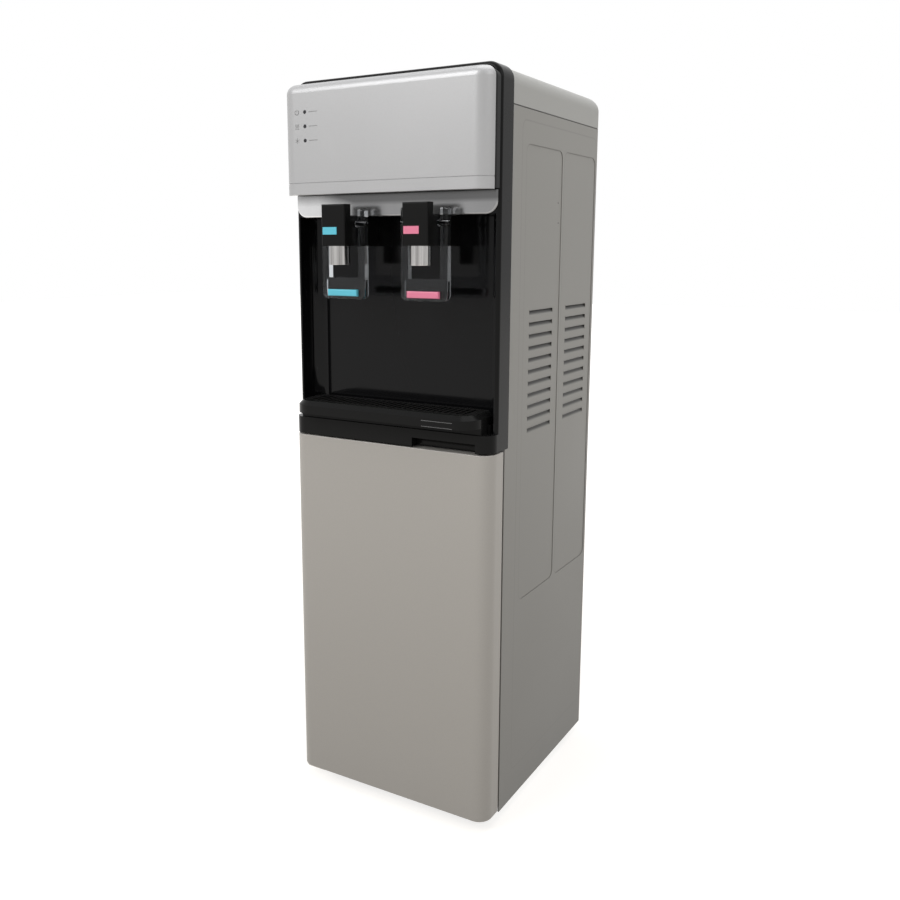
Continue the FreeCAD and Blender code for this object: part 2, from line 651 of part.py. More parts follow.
def front_bezel():
    """The black frame: two arms, a top, and the wall and plinth behind the control panel."""
    y0 = ahead(BEZEL_REACH)
    z0, z1 = up(SHELF_TOP), up(BEZEL_H)
    x = HALF_W
    frame = block(-x, x, y0, EDGE_UP_Y, z0, z1)
    frame = rounded(frame, BEZEL_TOP_R, [{"x": s * x, "z": z1} for s in (-1, 1)])
    rim = [e for e in edges_on(frame, {"y": y0}) if e.BoundBox.ZMax > z0 + 1.0]
    frame = frame.makeFillet(BEZEL_EDGE_R, rim)
    x_in = x - ARM_W
    hollow = block(-x_in, x_in, y0 + SHELL, EDGE_UP_Y + 1.0, z0 - 1.0, z1 - ARM_W)
    hollow = rounded(hollow, BEZEL_TOP_R - ARM_W, [{"x": s * x_in, "z": z1 - ARM_W} for s in (-1, 1)])
    mouth = block(-x_in, x_in, y0 - 1.0, y0 + SHELL + 1.0, z0 - 1.0, up(RECESS_TOP + SPLASH_T))
    x_cable = LAMP_X + BOARD_W - 10.0
    cable = rod(6.0, (x_cable, y0 - 1.0, up(LAMP_UPS[0])), (x_cable, y0 + 5.0, up(LAMP_UPS[0])))
    frame = frame.cut([hollow, mouth, cable])
    z_tongue = up(SIDE_H - 2.0)
    tongues = [side_block(s, TONGUE_X, INNER_W, EDGE_UP_Y, EDGE_UP_Y + TONGUE_D, z0, z_tongue) for s in (-1, 1)]
    return frame.fuse(tongues + [bezel_plinth()]).removeSplitter()


def splash_panel():
    """The glossy back of the recess: coved corners, a lining on the arms and a ceiling."""
    x = HALF_W - ARM_W
    y0, y1 = ahead(BEZEL_REACH), EDGE_UP_Y
    z0, z1 = up(SHELF_TOP), up(RECESS_TOP + SPLASH_T)
    lining = block(-x, x, y0, y1, z0, z1)
    x_in = x - LINING
    hollow = block(-x_in, x_in, y0 - 1.0, y1, z0 - 1.0, up(RECESS_TOP))
    hollow = rounded(hollow, COVE_R, [{"x": s * x_in, "y": y1} for s in (-1, 1)])
    lining = lining.cut(hollow)
    back = block(-TONGUE_X, TONGUE_X, y1, y1 + SPLASH_T, z0, z1)
    z = up(TAP_LOW + SHANK_UP)
    holes = [rod(SHANK_R, (x0, y1 - 1.0, z), (x0, y1 + SPLASH_T + 1.0, z)) for x0 in TAP_X.values()]
    return lining.fuse(back).cut(holes).removeSplitter()


def panel_body(inset, y_back):
    """The control panel's outline, drawn in by an inset from every outer face."""
    x = HALF_W - inset
    y0 = ahead(PANEL_REACH) + inset
    z0, z1 = up(PANEL_LOW) + inset, up(PANEL_LOW + PANEL_H) - inset
    body = front_block(x, y0, y_back, z0, z1, PANEL_R - inset)
    rim = [e for e in edges_on(body, {"z": z1}) if e.BoundBox.YMin < y_back - 1.0]
    return body.makeFillet(PANEL_TOP_R - inset, rim)


def control_panel():
    """The silver fascia, a shell with a shadow groove and three lamp holes."""
    y0, y1 = ahead(PANEL_REACH), ahead(BEZEL_REACH)
    shell = panel_body(0.0, y1).cut(panel_body(SHELL, y1 + 1.0))
    behind = block(-HALF_W - 1.0, HALF_W + 1.0, ahead(PANEL_BACK_REACH), y1 + 1.0, up(PANEL_LOW - 1.0), up(BEZEL_H))
    z = up(PANEL_LOW + GROOVE_UP)
    groove = block(-HALF_W - 1.0, HALF_W + 1.0, y0 - 1.0, y1 + 1.0, z, z + GROOVE_H)
    groove = groove.cut(panel_body(GROOVE_D, y1 + 2.0))
    holes = [rod(LAMP_R, (LAMP_X, y0 - 1.0, up(h)), (LAMP_X, y0 + SHELL + 1.0, up(h))) for h in LAMP_UPS]
    return shell.cut([groove, behind] + holes).removeSplitter()


def indicator_lenses():
    """Three lamp lenses, flush in the fascia, each with a flange behind it."""
    y0 = ahead(PANEL_REACH)
    y1 = y0 + SHELL
    lenses = []
    for h in LAMP_UPS:
        stem = rod(LAMP_R, (LAMP_X, y0, up(h)), (LAMP_X, y1, up(h)))
        flange = rod(LAMP_R + 1.5, (LAMP_X, y1, up(h)), (LAMP_X, y1 + LAMP_FLANGE, up(h)))
        lenses.append(stem.fuse(flange).removeSplitter())
    return group(lenses)


def indicator_board():
    """The lamp circuit board on two posts from the bezel's wall."""
    y0 = ahead(PANEL_REACH) + SHELL + LAMP_FLANGE
    y1 = ahead(BEZEL_REACH)
    x0, x1 = LAMP_X - 12.0, LAMP_X - 12.0 + BOARD_W
    z0, z1 = up(LAMP_UPS[0] - 14.0), up(LAMP_UPS[2] + 14.0)
    board = block(x0, x1, y0, y0 + BOARD_T, z0, z1)
    posts = [rod(3.0, (x1 - 6.0, y0 + BOARD_T, z), (x1 - 6.0, y1, z)) for z in (z0 + 6.0, z1 - 6.0)]
    return board.fuse(posts).removeSplitter()


def chin_trim():
    """The bright trim below the fascia, with rounded lower corners and a soft front edge."""
    y1 = ahead(BEZEL_REACH)
    y0 = y1 - CHIN_T
    z0, z1 = up(CHIN_LOW), up(PANEL_LOW)
    x = HALF_W - CHIN_IN
    plate = rounded(block(-x, x, y0, y1, z0, z1), CHIN_R, [{"x": s * x, "z": z0} for s in (-1, 1)])
    rim = [e for e in edges_on(plate, {"y": y0}) if e.BoundBox.ZMin < z1 - 1.0]
    return plate.makeFillet(CHIN_T * 0.8, rim)


def tray_housing():
    """The black shelf under the recess: rounded apron, shelf, tray guides and a finger scoop."""
    y0 = ahead(DOOR_REACH)
    z0, z1 = up(APRON_LOW), up(SHELF_TOP)
    outer = front_block(HALF_W, y0, EDGE_UP_Y, z0, z1, FRONT_R)
    body = outer.cut(front_block(HALF_W - SHELL, y0 + SHELL, EDGE_UP_Y + 1.0, z0 - 1.0, z1 - SHELL, FRONT_R - SHELL))
    adds = [block(-TONGUE_X, TONGUE_X, EDGE_UP_Y, EDGE_UP_Y + SPLASH_T, z1 - SHELL, z1)]
    for s in (-1, 1):
        adds.append(side_block(s, TONGUE_X, INNER_W, EDGE_UP_Y, EDGE_UP_Y + TONGUE_D, z0, z1))
        g0 = TRAY_W / 2.0 + FIT
        adds.append(side_block(s, g0, g0 + GUIDE_W, ahead(BEZEL_REACH - 2.0), EDGE_UP_Y - COVE_R, z1, z1 + GUIDE_H))
    x0, x1 = SCOOP_X - SCOOP_W / 2.0, SCOOP_X + SCOOP_W / 2.0
    adds.append(block(x0 - 2.0, x1 + 2.0, y0 + 0.5, y0 + SCOOP_D + 2.0, z0, z0 + SCOOP_H + 2.0))
    scoop = block(x0, x1, y0 - 1.0, y0 + SCOOP_D, z0 - 1.0, z0 + SCOOP_H)
    scoop = rounded(scoop, SCOOP_R, [{"y": y0 + SCOOP_D, "z": z0 + SCOOP_H}])
    return body.fuse(adds).cut(scoop).removeSplitter()


# ---- drip tray ----------------------------------------------------------------------------------
def drip_tray():
    """The removable tub: a basin over the shelf and a bevelled lip in front of it."""
    x = TRAY_W / 2.0
    z0 = up(SHELF_TOP) + SLIDE
    z1 = z0 + TRAY_H
    y0, y1 = ahead(LIP_REACH), EDGE_UP_Y - TRAY_BACK_GAP
    y_lip = ahead(DOOR_REACH - 3.0)
    body = front_block(x, y0, y1, z0, z1, TRAY_R)
    body = rounded(body, TRAY_BACK_R, [{"x": s * x, "y": y1} for s in (-1, 1)])
    rim = [e for e in edges_on(body, {"z": z1}) if e.BoundBox.YMax < y1 - 1.0 and e.BoundBox.YMin < y0 + 1.0]
    body = body.makeChamfer(TRAY_BEVEL, rim)
    under = block(-x - 1.0, x + 1.0, y0 - 1.0, y_lip, z0 - 1.0, z0 + LIP_RISE)
    y_rim = y0 + RIM_FRONT
    rebate = front_block(x - RIM, y_rim, y1 - RIM, z1 - GRILLE_T, z1 + 1.0, RIM_R)
    x_in = x - RIM - 3.0
    y_wall = y_lip + TRAY_WALL
    basin = block(-x_in, x_in, y_wall, y1 - RIM - 3.0, z0 + TRAY_WALL, z1)
    gutter = front_block(x_in, y_rim + 3.0, y_wall + 1.0, z0 + LIP_RISE + TRAY_WALL, z1, 8.0)
    return body.cut([under, rebate, basin, gutter]).removeSplitter()


def drip_grille():
    """The slotted plate that lies in the tub's rebate."""
    x = TRAY_W / 2.0 - RIM - FIT
    z0 = up(SHELF_TOP) + SLIDE + TRAY_H - GRILLE_T
    y0 = ahead(LIP_REACH) + RIM_FRONT + FIT
    y1 = EDGE_UP_Y - TRAY_BACK_GAP - RIM - FIT
    plate = front_block(x, y0, y1, z0, z0 + GRILLE_T, RIM_R - FIT)
    count = int((2.0 * x - 2.0 * GRILLE_MARGIN) // SLOT_PITCH)
    slots = []
    for k in range(count):
        sx = (k - (count - 1) / 2.0) * SLOT_PITCH
        slots.append(block(sx - SLOT_W / 2.0, sx + SLOT_W / 2.0, y0 + GRILLE_MARGIN, y1 - GRILLE_MARGIN, z0 - 1, z0 + GRILLE_T + 1))
    return plate.cut(slots)


# ---- taps ---------------------------------------------------------------------------------------
def tap_roof():
    """Z of the housing's top behind its head, just under the bright trim."""
    return up(CHIN_LOW) - FIT


def tap_body(x0):
    """The square housing with its upstanding head and its shank, bored for water, stem and pin."""
    half = TAP_W / 2.0
    y0 = ahead(TAP_REACH)
    z0, z1 = up(TAP_LOW), up(TAP_LOW + TAP_H)
    z_way = up(TAP_LOW + SHANK_UP)
    body = block(x0 - half, x0 + half, y0, EDGE_UP_Y, z0, tap_roof())
    head = block(x0 - half, x0 + half, y0, y0 + HEAD_D, z0, z1)
    body = body.fuse(head).removeSplitter()
    body = rounded(body, 2.0, [{"y": y0, "z": z1}, {"y": y0, "x": x0 - half}, {"y": y0, "x": x0 + half}])
    y_end = EDGE_UP_Y + SHANK_L
    shank = rod(SHANK_R, (x0, EDGE_UP_Y, z_way), (x0, y_end, z_way))
    stem_way = rod(STEM_R + FIT, (x0, NOZZLE_Y, z0 - 1.0), (x0, NOZZLE_Y, tap_roof() - STEM_ROOF))
    pin_way = rod(PIN_R, (x0 - half - 1.0, PIN_Y, up(PIN_UP)), (x0 + half + 1.0, PIN_Y, up(PIN_UP)))
    water_way = rod(PIPE_R, (x0, NOZZLE_Y, z_way), (x0, y_end + 1.0, z_way))
    return body.fuse(shank).cut([stem_way, pin_way, water_way]).removeSplitter()


def tap_nozzles():
    """The bright spouts under both housings."""
    spouts = []
    for x0 in TAP_X.values():
        z0, z1 = up(TAP_LOW - NOZZLE_H), up(TAP_LOW)
        spout = rod(NOZZLE_R, (x0, NOZZLE_Y, z0), (x0, NOZZLE_Y, z1))
        spout = rounded(spout, 1.0, [{"z": z0}])
        spouts.append(spout.cut(rod(STEM_R + 2.0, (x0, NOZZLE_Y, z0 - 1.0), (x0, NOZZLE_Y, z1 + 1.0))))
    return group(spouts)


def tap_nuts():
    """The ring nuts on both shanks behind the splash panel."""
    nuts = []
    y0 = EDGE_UP_Y + SPLASH_T
    z = up(TAP_LOW + SHANK_UP)
    for x0 in TAP_X.values():
        ring = rod(NUT_R, (x0, y0, z), (x0, y0 + NUT_T, z))
        nuts.append(ring.cut(rod(SHANK_R, (x0, y0 - 1.0, z), (x0, y0 + NUT_T + 1.0, z))))
    return group(nuts)


def tap_pins():
    """The pins across both housings that the paddles swing on."""
    reach = PADDLE_W / 2.0
    return group([rod(PIN_R, (x0 - reach, PIN_Y, up(PIN_UP)), (x0 + reach, PIN_Y, up(PIN_UP))) for x0 in TAP_X.values()])


def valve_stem(x0):
    """The plunger that opens the way to the nozzle as it rises."""
    z0 = up(TAP_LOW + STEM_UP)
    stem = rod(STEM_R, (x0, NOZZLE_Y, z0), (x0, NOZZLE_Y, z0 + STEM_L))
    return rounded(stem, 1.0, [{"z": z0}])


def stem_spring(x0):
    """The return spring between the stem and the top of its bore."""
    z0 = up(TAP_LOW + STEM_UP) + STEM_L
    room = tap_roof() - STEM_ROOF - z0
    rise = room - 2.0 * COIL_WIRE
    return spring_coil(COIL_WIRE, COIL_MEAN, rise / COIL_LOOPS, COIL_LOOPS, (x0, NOZZLE_Y, z0 + COIL_WIRE))


def tap_badge(x0):
    """The coloured plate on the housing's front."""
    y0 = ahead(TAP_REACH)
    z0 = up(TAP_LOW + BADGE_UP)
    x1 = x0 - BADGE_SHIFT
    return block(x1 - BADGE_W / 2.0, x1 + BADGE_W / 2.0, y0 - BADGE_T, y0, z0, z0 + BADGE_H)


def tap_paddle(x0):
    """The clear lever: two arms beside the housing, joined by the plate that a cup pushes."""
    half = PADDLE_W / 2.0
    y0, y1 = PADDLE_Y, PADDLE_Y + PADDLE_D
    z0, z1 = up(PADDLE_LOW), up(PADDLE_LOW + PADDLE_H)
    z_in = z0 + PLATE_H
    x_in = half - PADDLE_ARM
    body = block(x0 - half, x0 + half, y0, y1, z0, z1)
    body = rounded(body, PADDLE_R, [{"x": x0 - half, "z": z0}, {"x": x0 + half, "z": z0}])
    window = block(x0 - x_in, x0 + x_in, y0 - 1.0, y1 + 1.0, z_in, z1 + 1.0)
    thin = block(x0 - half + 3.0, x0 + half - 3.0, y0 + PLATE_T, y1 + 1.0, z0 + 3.0, z_in - 3.0)
    body = rounded(body.cut([window, thin]), 3.5, [{"y": y0, "z": z1}, {"y": y1, "z": z1}])
    z_pin = up(PIN_UP)
    gap = TAP_W / 2.0 + FIT
    bosses = []
    for s in (-1, 1):
        bosses.append(rod(BOSS_R - 1.6, (x0 + s * gap, PIN_Y, z_pin), (x0 + s * (x_in + 1.0), PIN_Y, z_pin)))
    bore = rod(PIN_R + RUN, (x0 - half - 1.0, PIN_Y, z_pin), (x0 + half + 1.0, PIN_Y, z_pin))
    return body.fuse(bosses).cut(bore).removeSplitter()


def paddle_bar(x0):
    """The coloured bar along the paddle's lower edge."""
    z0 = up(PADDLE_LOW + BAR_UP)
    y0 = PADDLE_Y - BAR_T
    bar = block(x0 - BAR_W / 2.0, x0 + BAR_W / 2.0, y0, PADDLE_Y, z0, z0 + BAR_H)
    return bar.makeFillet(1.5, edges_on(bar, {"y": y0}))


# ---- door ---------------------------------------------------------------------------------------
def door_skin():
    """The door's outer pan with rounded front corners, open at the back."""
    y0, y1 = ahead(DOOR_REACH), DOOR_BACK_Y
    z0, z1 = up(DOOR_LOW), up(DOOR_TOP)
    outer = front_block(HALF_W, y0, y1, z0, z1, FRONT_R)
    outer = rounded(outer, DOOR_REAR_R, [{"x": s * HALF_W, "y": y1} for s in (-1, 1)])
    rims = [e for z in (z0, z1) for e in edges_on(outer, {"z": z, "y": y0})]
    outer = outer.makeFillet(DOOR_EDGE_R * 0.9, rims)
    t = DOOR_SKIN
    skin = outer.cut(front_block(HALF_W - t, y0 + t, y1 + 1.0, z0 + t, z1 - t, FRONT_R - t))
    holes = [rod(HINGE_PIN_R + 1.0, (HINGE_X, HINGE_Y, z - 5.0), (HINGE_X, HINGE_Y, z + 5.0)) for z in (z0, z1)]
    return skin.cut(holes).removeSplitter()


def door_liner():
    """The moulded inner face of the door: a dished plate with stiffening ribs inside the pan."""
    x = HALF_W - DOOR_SKIN
    y0, y1 = DOOR_BACK_Y - LINER_D, DOOR_BACK_Y
    z0, z1 = up(DOOR_LOW) + DOOR_SKIN, up(DOOR_TOP) - DOOR_SKIN
    xd, zd0, zd1 = x - LINER_RIM, z0 + LINER_RIM, z1 - LINER_RIM
    dish = block(-xd, xd, y0 + SHELL, y1 + 1.0, zd0, zd1)
    dish = rounded(dish, 12.0, [{"x": s * xd, "z": z} for s in (-1, 1) for z in (zd0, zd1)])
    plate = block(-x, x, y0, y1, z0, z1).cut(dish)
    ribs = []
    for k in range(LINER_RIBS):
        z = z0 + (k + 1) * (z1 - z0) / (LINER_RIBS + 1)
        ribs.append(block(-xd, xd, y0 - 8.0, y0, z - 1.5, z + 1.5))
    return plate.fuse(ribs).removeSplitter()


def hinge_blocks():
    """The nylon blocks inside the door that turn on the hinge pins."""
    y0, y1 = HINGE_Y - 6.0, DOOR_BACK_Y - LINER_D
    low = up(DOOR_LOW) + DOOR_SKIN
    high = up(DOOR_TOP) - DOOR_SKIN - HINGE_PIN_L
    blocks = []
    for z in (low, high):
        body = block(HINGE_X - 6.0, HINGE_X + 12.0, y0, y1, z, z + HINGE_PIN_L)
        bore = rod(HINGE_PIN_R + RUN, (HINGE_X, HINGE_Y, z - 1.0), (HINGE_X, HINGE_Y, z + HINGE_PIN_L + 1.0))
        blocks.append(body.cut(bore))
    return group(blocks)


def lower_hinge():
    """The bracket under the cabinet with its collar and pin."""
    x0 = -HALF_W + 4.0
    y0 = HINGE_Y - 9.0
    plate = block(x0, x0 + BRACKET_W, y0, EDGE_Y + 12.0, up(-BRACKET_T), up(0))
    plate = rounded(plate, 7.0, [{"x": x0, "y": y0}, {"x": x0 + BRACKET_W, "y": y0}])
    z_collar = up(DOOR_LOW) - FIT
    collar = rod(HINGE_PIN_R + 3.0, (HINGE_X, HINGE_Y, up(0)), (HINGE_X, HINGE_Y, z_collar))
    z_pin = up(DOOR_LOW) + DOOR_SKIN + HINGE_PIN_L - 2.0
    pin = rod(HINGE_PIN_R, (HINGE_X, HINGE_Y, up(0)), (HINGE_X, HINGE_Y, z_pin))
    return plate.fuse([collar, pin]).removeSplitter()


def upper_hinge():
    """The bracket over the door: a tab on the deck, a step, a plate and its pin."""
    x0 = -HALF_W + 8.0
    x1 = x0 + BRACKET_W - 4.0
    y0 = HINGE_Y - 9.0
    z1 = up(APRON_LOW)
    z0 = z1 - DOOR_SEAM + FIT
    plate = block(x0, x1, y0, EDGE_Y, z0, z1)
    plate = rounded(plate, 5.0, [{"x": x0, "y": y0}, {"x": x1, "y": y0}])
    step = block(x0, x1, EDGE_Y - 3.0, EDGE_Y, z0, z1 + SHEET)
    tab = block(x0, x1, EDGE_Y - 3.0, EDGE_Y + 20.0, z1, z1 + SHEET)
    pin = rod(HINGE_PIN_R, (HINGE_X, HINGE_Y, up(DOOR_TOP) - DOOR_SKIN - HINGE_PIN_L + 2.0), (HINGE_X, HINGE_Y, z0))
    return plate.fuse([step, tab, pin]).removeSplitter()


def door_magnet():
    """The magnet strip at the top of the door's inner face, near the deck's steel edge."""
    x1 = HALF_W - DOOR_SKIN - 10.0
    z1 = up(DOOR_TOP) - DOOR_SKIN - 1.0
    return block(x1 - MAGNET_W, x1, DOOR_BACK_Y, EDGE_Y - FIT, z1 - MAGNET_H, z1)


# ---- machinery ----------------------------------------------------------------------------------
def drain_height():
    """Z of the hot tank's drain."""
    return up(TANK_SHELF_UP) + FOAM + DRAIN_UP


def compressor():
    """The sealed compressor: rounded can, welded seam, mounting plate and terminal cover."""
    z0 = up(APRON_LOW) + GROMMET_H
    z1 = z0 + COMP_H
    can = rod(COMP_R, (COMP_X, COMP_Y, z0 + 2.5), (COMP_X, COMP_Y, z1))
    can = can.makeFillet(COMP_TOP_R, edges_on(can, {"z": z1}))
    can = can.makeFillet(COMP_LOW_R, edges_on(can, {"z": z0 + 2.5}))
    px, py = COMP_FOOT_X + PLATE_RIM, COMP_FOOT_Y + PLATE_RIM
    plate = block(COMP_X - px, COMP_X + px, COMP_Y - py, COMP_Y + py, z0, z0 + 3.0)
    corners = [{"x": COMP_X + i * px, "y": COMP_Y + j * py} for i in (-1, 1) for j in (-1, 1)]
    plate = rounded(plate, 10.0, corners)
    plate = plate.cut([rod(5.0, (x, y, z0 - 1.0), (x, y, z0 + 5.0)) for x, y in compressor_spots()])
    x_box = COMP_X + COMP_R
    half, z_box = TERMINAL_W / 2.0, z0 + COMP_H * 0.3
    box = block(x_box - 8.0, x_box + TERMINAL_OUT, COMP_Y - half, COMP_Y + half, z_box, z_box + COMP_H / 3.0)
    z_seam = z0 + COMP_H / 2.0 - 1.0
    seam = rod(COMP_R + 2.0, (COMP_X, COMP_Y, z_seam), (COMP_X, COMP_Y, z_seam + 4.0))
    return can.fuse([plate, box, seam]).removeSplitter()


def compressor_mounts():
    """Four rubber grommets between the compressor's plate and the deck."""
    mounts = []
    z0 = up(APRON_LOW)
    z1 = z0 + GROMMET_H
    for x, y in compressor_spots():
        pad = rod(GROMMET_R, (x, y, z0), (x, y, z1))
        neck = rod(5.0, (x, y, z1), (x, y, z1 + 3.0))
        mounts.append(pad.fuse(neck).removeSplitter())
    return group(mounts)


def tank(x0, radius, height):
    """A tank with rounded ends."""
    z0 = up(TANK_SHELF_UP) + FOAM
    can = rod(radius, (x0, TANK_Y, z0), (x0, TANK_Y, z0 + height))
    return can.makeFillet(9.0, edges_on(can, {"z": z0}) + edges_on(can, {"z": z0 + height}))


def foam_ports():
    """What the pipes need cut away from the foam round the tanks."""
    z_shelf = up(TANK_SHELF_UP)
    z_cold = z_shelf + FOAM + DRAIN_UP
    z_hot = z_shelf + FOAM + HOT_H - DRAIN_UP
    r = PIPE_R + FIT
    coil_x = COLD_X - COIL_MEAN_R
    z_top = z_shelf + COLD_H + 2.0 * FOAM + 1.0
    return [
        rod(r, (COLD_X, TANK_Y, z_cold), (COLD_X, EDGE_UP_Y, z_cold)),
        rod(r, (COLD_X, TANK_Y, z_cold), (HOT_X, TANK_Y, z_cold)),
        rod(r, (COLD_X, TANK_Y, z_shelf + FOAM), (COLD_X, TANK_Y, z_top)),
        rod(r, (HOT_X, TANK_Y, z_hot), (HOT_X, EDGE_UP_Y, z_hot)),
        rod(r, (HOT_X, TANK_Y, z_cold), (HOT_X, SHEET_Y, z_cold)),
        rod(COIL_R + 0.5, (coil_x, TANK_Y, z_shelf - 1.0), (coil_x, TANK_Y, z_top)),
    ]


def cold_foam():
    """The foam block round the cold tank and its coil."""
    r = COLD_FOAM_R
    z0 = up(TANK_SHELF_UP)
    x0, x1 = COLD_X - r - FOAM_SIDE, COLD_X + r + FOAM_SIDE
    y0, y1 = TANK_Y - FOAM_SPAN / 2.0, TANK_Y + FOAM_SPAN / 2.0
    outer = block(x0, x1, y0, y1, z0, z0 + COLD_H + 2.0 * FOAM)
    outer = rounded(outer, 10.0, [{"x": x, "y": y} for x in (x0, x1) for y in (y0, y1)])
    hollow = rod(r, (COLD_X, TANK_Y, z0 + FOAM), (COLD_X, TANK_Y, z0 + FOAM + COLD_H))
    return outer.cut([hollow] + foam_ports())


def hot_foam():
    """The foam jacket round the hot tank."""
    z0 = up(TANK_SHELF_UP)
    outer = rod(HOT_FOAM_R + HOT_FOAM, (HOT_X, TANK_Y, z0), (HOT_X, TANK_Y, z0 + HOT_H + 2.0 * FOAM))
    hollow = rod(HOT_FOAM_R, (HOT_X, TANK_Y, z0 + FOAM), (HOT_X, TANK_Y, z0 + FOAM + HOT_H))
    return outer.cut([hollow] + foam_ports())


def heater_band():
    """The heating band clamped round the hot tank."""
    z0 = up(TANK_SHELF_UP) + FOAM + BAND_UP
    z1 = z0 + BAND_H
    band = rod(HOT_R + BAND_T, (HOT_X, TANK_Y, z0), (HOT_X, TANK_Y, z1))
    return band.cut(rod(HOT_R, (HOT_X, TANK_Y, z0 - 1.0), (HOT_X, TANK_Y, z1 + 1.0)))


def evaporator_coil():
    """The copper coil wound round the cold tank, both ends at its left."""
    z0 = up(TANK_SHELF_UP) + FOAM + COIL_UP
    coil = spring_coil(COIL_R, COIL_MEAN_R, COIL_H / COIL_TURNS, COIL_TURNS, (0, 0, 0))
    coil.rotate(FreeCAD.Vector(0, 0, 0), FreeCAD.Vector(0, 0, 1), 180.0)
    coil.translate(FreeCAD.Vector(COLD_X, TANK_Y, z0))
    return coil


def refrigerant_lines():
    """The suction pipe to the compressor and the fine capillary from the drier to the coil."""
    x = COLD_X - COIL_MEAN_R
    z_coil = up(TANK_SHELF_UP) + FOAM + COIL_UP
    way = FreeCAD.Vector(x - COMP_X, TANK_Y - COMP_Y, 0).normalize()
    start = FreeCAD.Vector(COMP_X, COMP_Y, up(TUBE_TOP)) + way * COMP_R
    corner = (x, TANK_Y, up(TUBE_TOP))
    suction = bent_pipe(TUBE_R, [tuple(start), corner, (x, TANK_Y, z_coil - COIL_R)], 12.0)
    y = DRIER_Y
    x_up = DRIER_X - CAPILLARY_OUT
    z_low, z_high = up(DRIER_UP - 20.0), up(SIDE_H - 25.0)
    z_end = z_coil + COIL_H + COIL_R
    path = [(DRIER_X, y, up(DRIER_UP)), (DRIER_X, y, z_low), (x_up, y, z_low), (x_up, y, z_high),
            (x, TANK_Y, z_high), (x, TANK_Y, z_end)]
    return group([suction, bent_pipe(CAPILLARY_R, path, 6.0)])


def filter_drier():
    """The drier in the liquid line, with coned ends."""
    y = DRIER_Y
    z0, z1 = up(DRIER_UP), up(DRIER_UP + DRIER_L)
    cone = DRIER_CONE
    low = Part.makeCone(LINE_R, DRIER_R, cone, FreeCAD.Vector(DRIER_X, y, z0))
    body = rod(DRIER_R, (DRIER_X, y, z0 + cone), (DRIER_X, y, z1 - cone))
    high = Part.makeCone(DRIER_R, LINE_R, cone, FreeCAD.Vector(DRIER_X, y, z1 - cone))
    return low.fuse([body, high]).removeSplitter()


def condenser():
    """The tube that snakes down the back, its riser to the drier, its wires and its four stays."""
    half = TUBE_SPAN / 2.0
    x_riser = half + RISER_OUT
    z_return = up(DRIER_UP + DRIER_L + 10.0)
    path = [(COMP_X, COMP_Y + COMP_R, up(TUBE_TOP)), (COMP_X, TUBE_Y, up(TUBE_TOP))]
    for k in range(TUBE_RUNS):
        z = up(TUBE_TOP - k * TUBE_PITCH)
        ends = (-half, half) if k % 2 == 0 else (half, -half)
        if k > 0:
            path.append((ends[0], TUBE_Y, z))
        path.append((ends[1] if k < TUBE_RUNS - 1 else x_riser, TUBE_Y, z))
    path.extend([(x_riser, TUBE_Y, z_return), (DRIER_X, TUBE_Y, z_return)])
    path.extend([(DRIER_X, DRIER_Y, z_return), (DRIER_X, DRIER_Y, up(DRIER_UP + DRIER_L))])
    tube = bent_pipe(TUBE_R, path, TUBE_BEND)
    parts = [tube]
    z0, z1 = up(TUBE_LOW - WIRE_OVER), up(TUBE_TOP + WIRE_OVER)
    y = TUBE_Y + TUBE_R + WIRE_R
    for k in range(WIRE_COUNT):
        x = (k - (WIRE_COUNT - 1) / 2.0) * (TUBE_SPAN - 2.0 * WIRE_IN) / (WIRE_COUNT - 1)
        parts.append(rod(WIRE_R, (x, y, z0), (x, y, z1)))
    for x in (-half + STAY_IN, half - STAY_IN):
        for row in (1, TUBE_RUNS - 2):
            z = up(TUBE_TOP - row * TUBE_PITCH)
            dx, dz = STAY_W / 2.0, STAY_H / 2.0
            parts.append(block(x - dx, x + dx, SHEET_Y + SHEET, TUBE_Y - TUBE_R, z - dz, z + dz))
    return group(parts)


def water_pump():
    """The pump on its foot over the deck."""
    z0 = up(APRON_LOW)
    z = z0 + PUMP_UP
    x0, x1 = PUMP_X - PUMP_L / 2.0, PUMP_X + PUMP_L / 2.0
    motor = rod(PUMP_R, (x0, PROBE_Y, z), (x1, PROBE_Y, z))
    head = rod(PUMP_R - 5.0, (x1, PROBE_Y, z), (x1 + 6.0, PROBE_Y, z))
    foot = block(x0 + 8.0, x1 - 8.0, PROBE_Y - 16.0, PROBE_Y + 16.0, z0, z)
    spout = rod(PIPE_R + 2.0, (PUMP_X - 8.0, PROBE_Y, z), (PUMP_X - 8.0, PROBE_Y, z + PUMP_R + 8.0))
    return motor.fuse([head, foot, spout]).removeSplitter()


def suction_probe():
    """The dip tube and bottle cap, parked in its clip on the back panel."""
    z0 = up(PROBE_LOW)
    z1 = z0 + PROBE_L
    tube = rod(PROBE_R, (PROBE_X, PROBE_Y, z0), (PROBE_X, PROBE_Y, z1))
    foot = rod(PROBE_R + 2.0, (PROBE_X, PROBE_Y, z0), (PROBE_X, PROBE_Y, z0 + 14.0))
    cap = rod(CAP_R, (PROBE_X, PROBE_Y, z1), (PROBE_X, PROBE_Y, z1 + CAP_H))
    grip = rod(CAP_R - 6.0, (PROBE_X, PROBE_Y, z1 + CAP_H), (PROBE_X, PROBE_Y, z1 + CAP_H + 8.0))
    probe = tube.fuse([foot, cap, grip]).removeSplitter()
    z_clip = z1 - 60.0
    clip = block(PROBE_X - 10.0, PROBE_X + 10.0, PROBE_Y - 4.0, SHEET_Y, z_clip, z_clip + 16.0)
    clip = clip.cut(rod(PROBE_R, (PROBE_X, PROBE_Y, z_clip - 1.0), (PROBE_X, PROBE_Y, z_clip + 17.0)))
    return group([probe, clip])


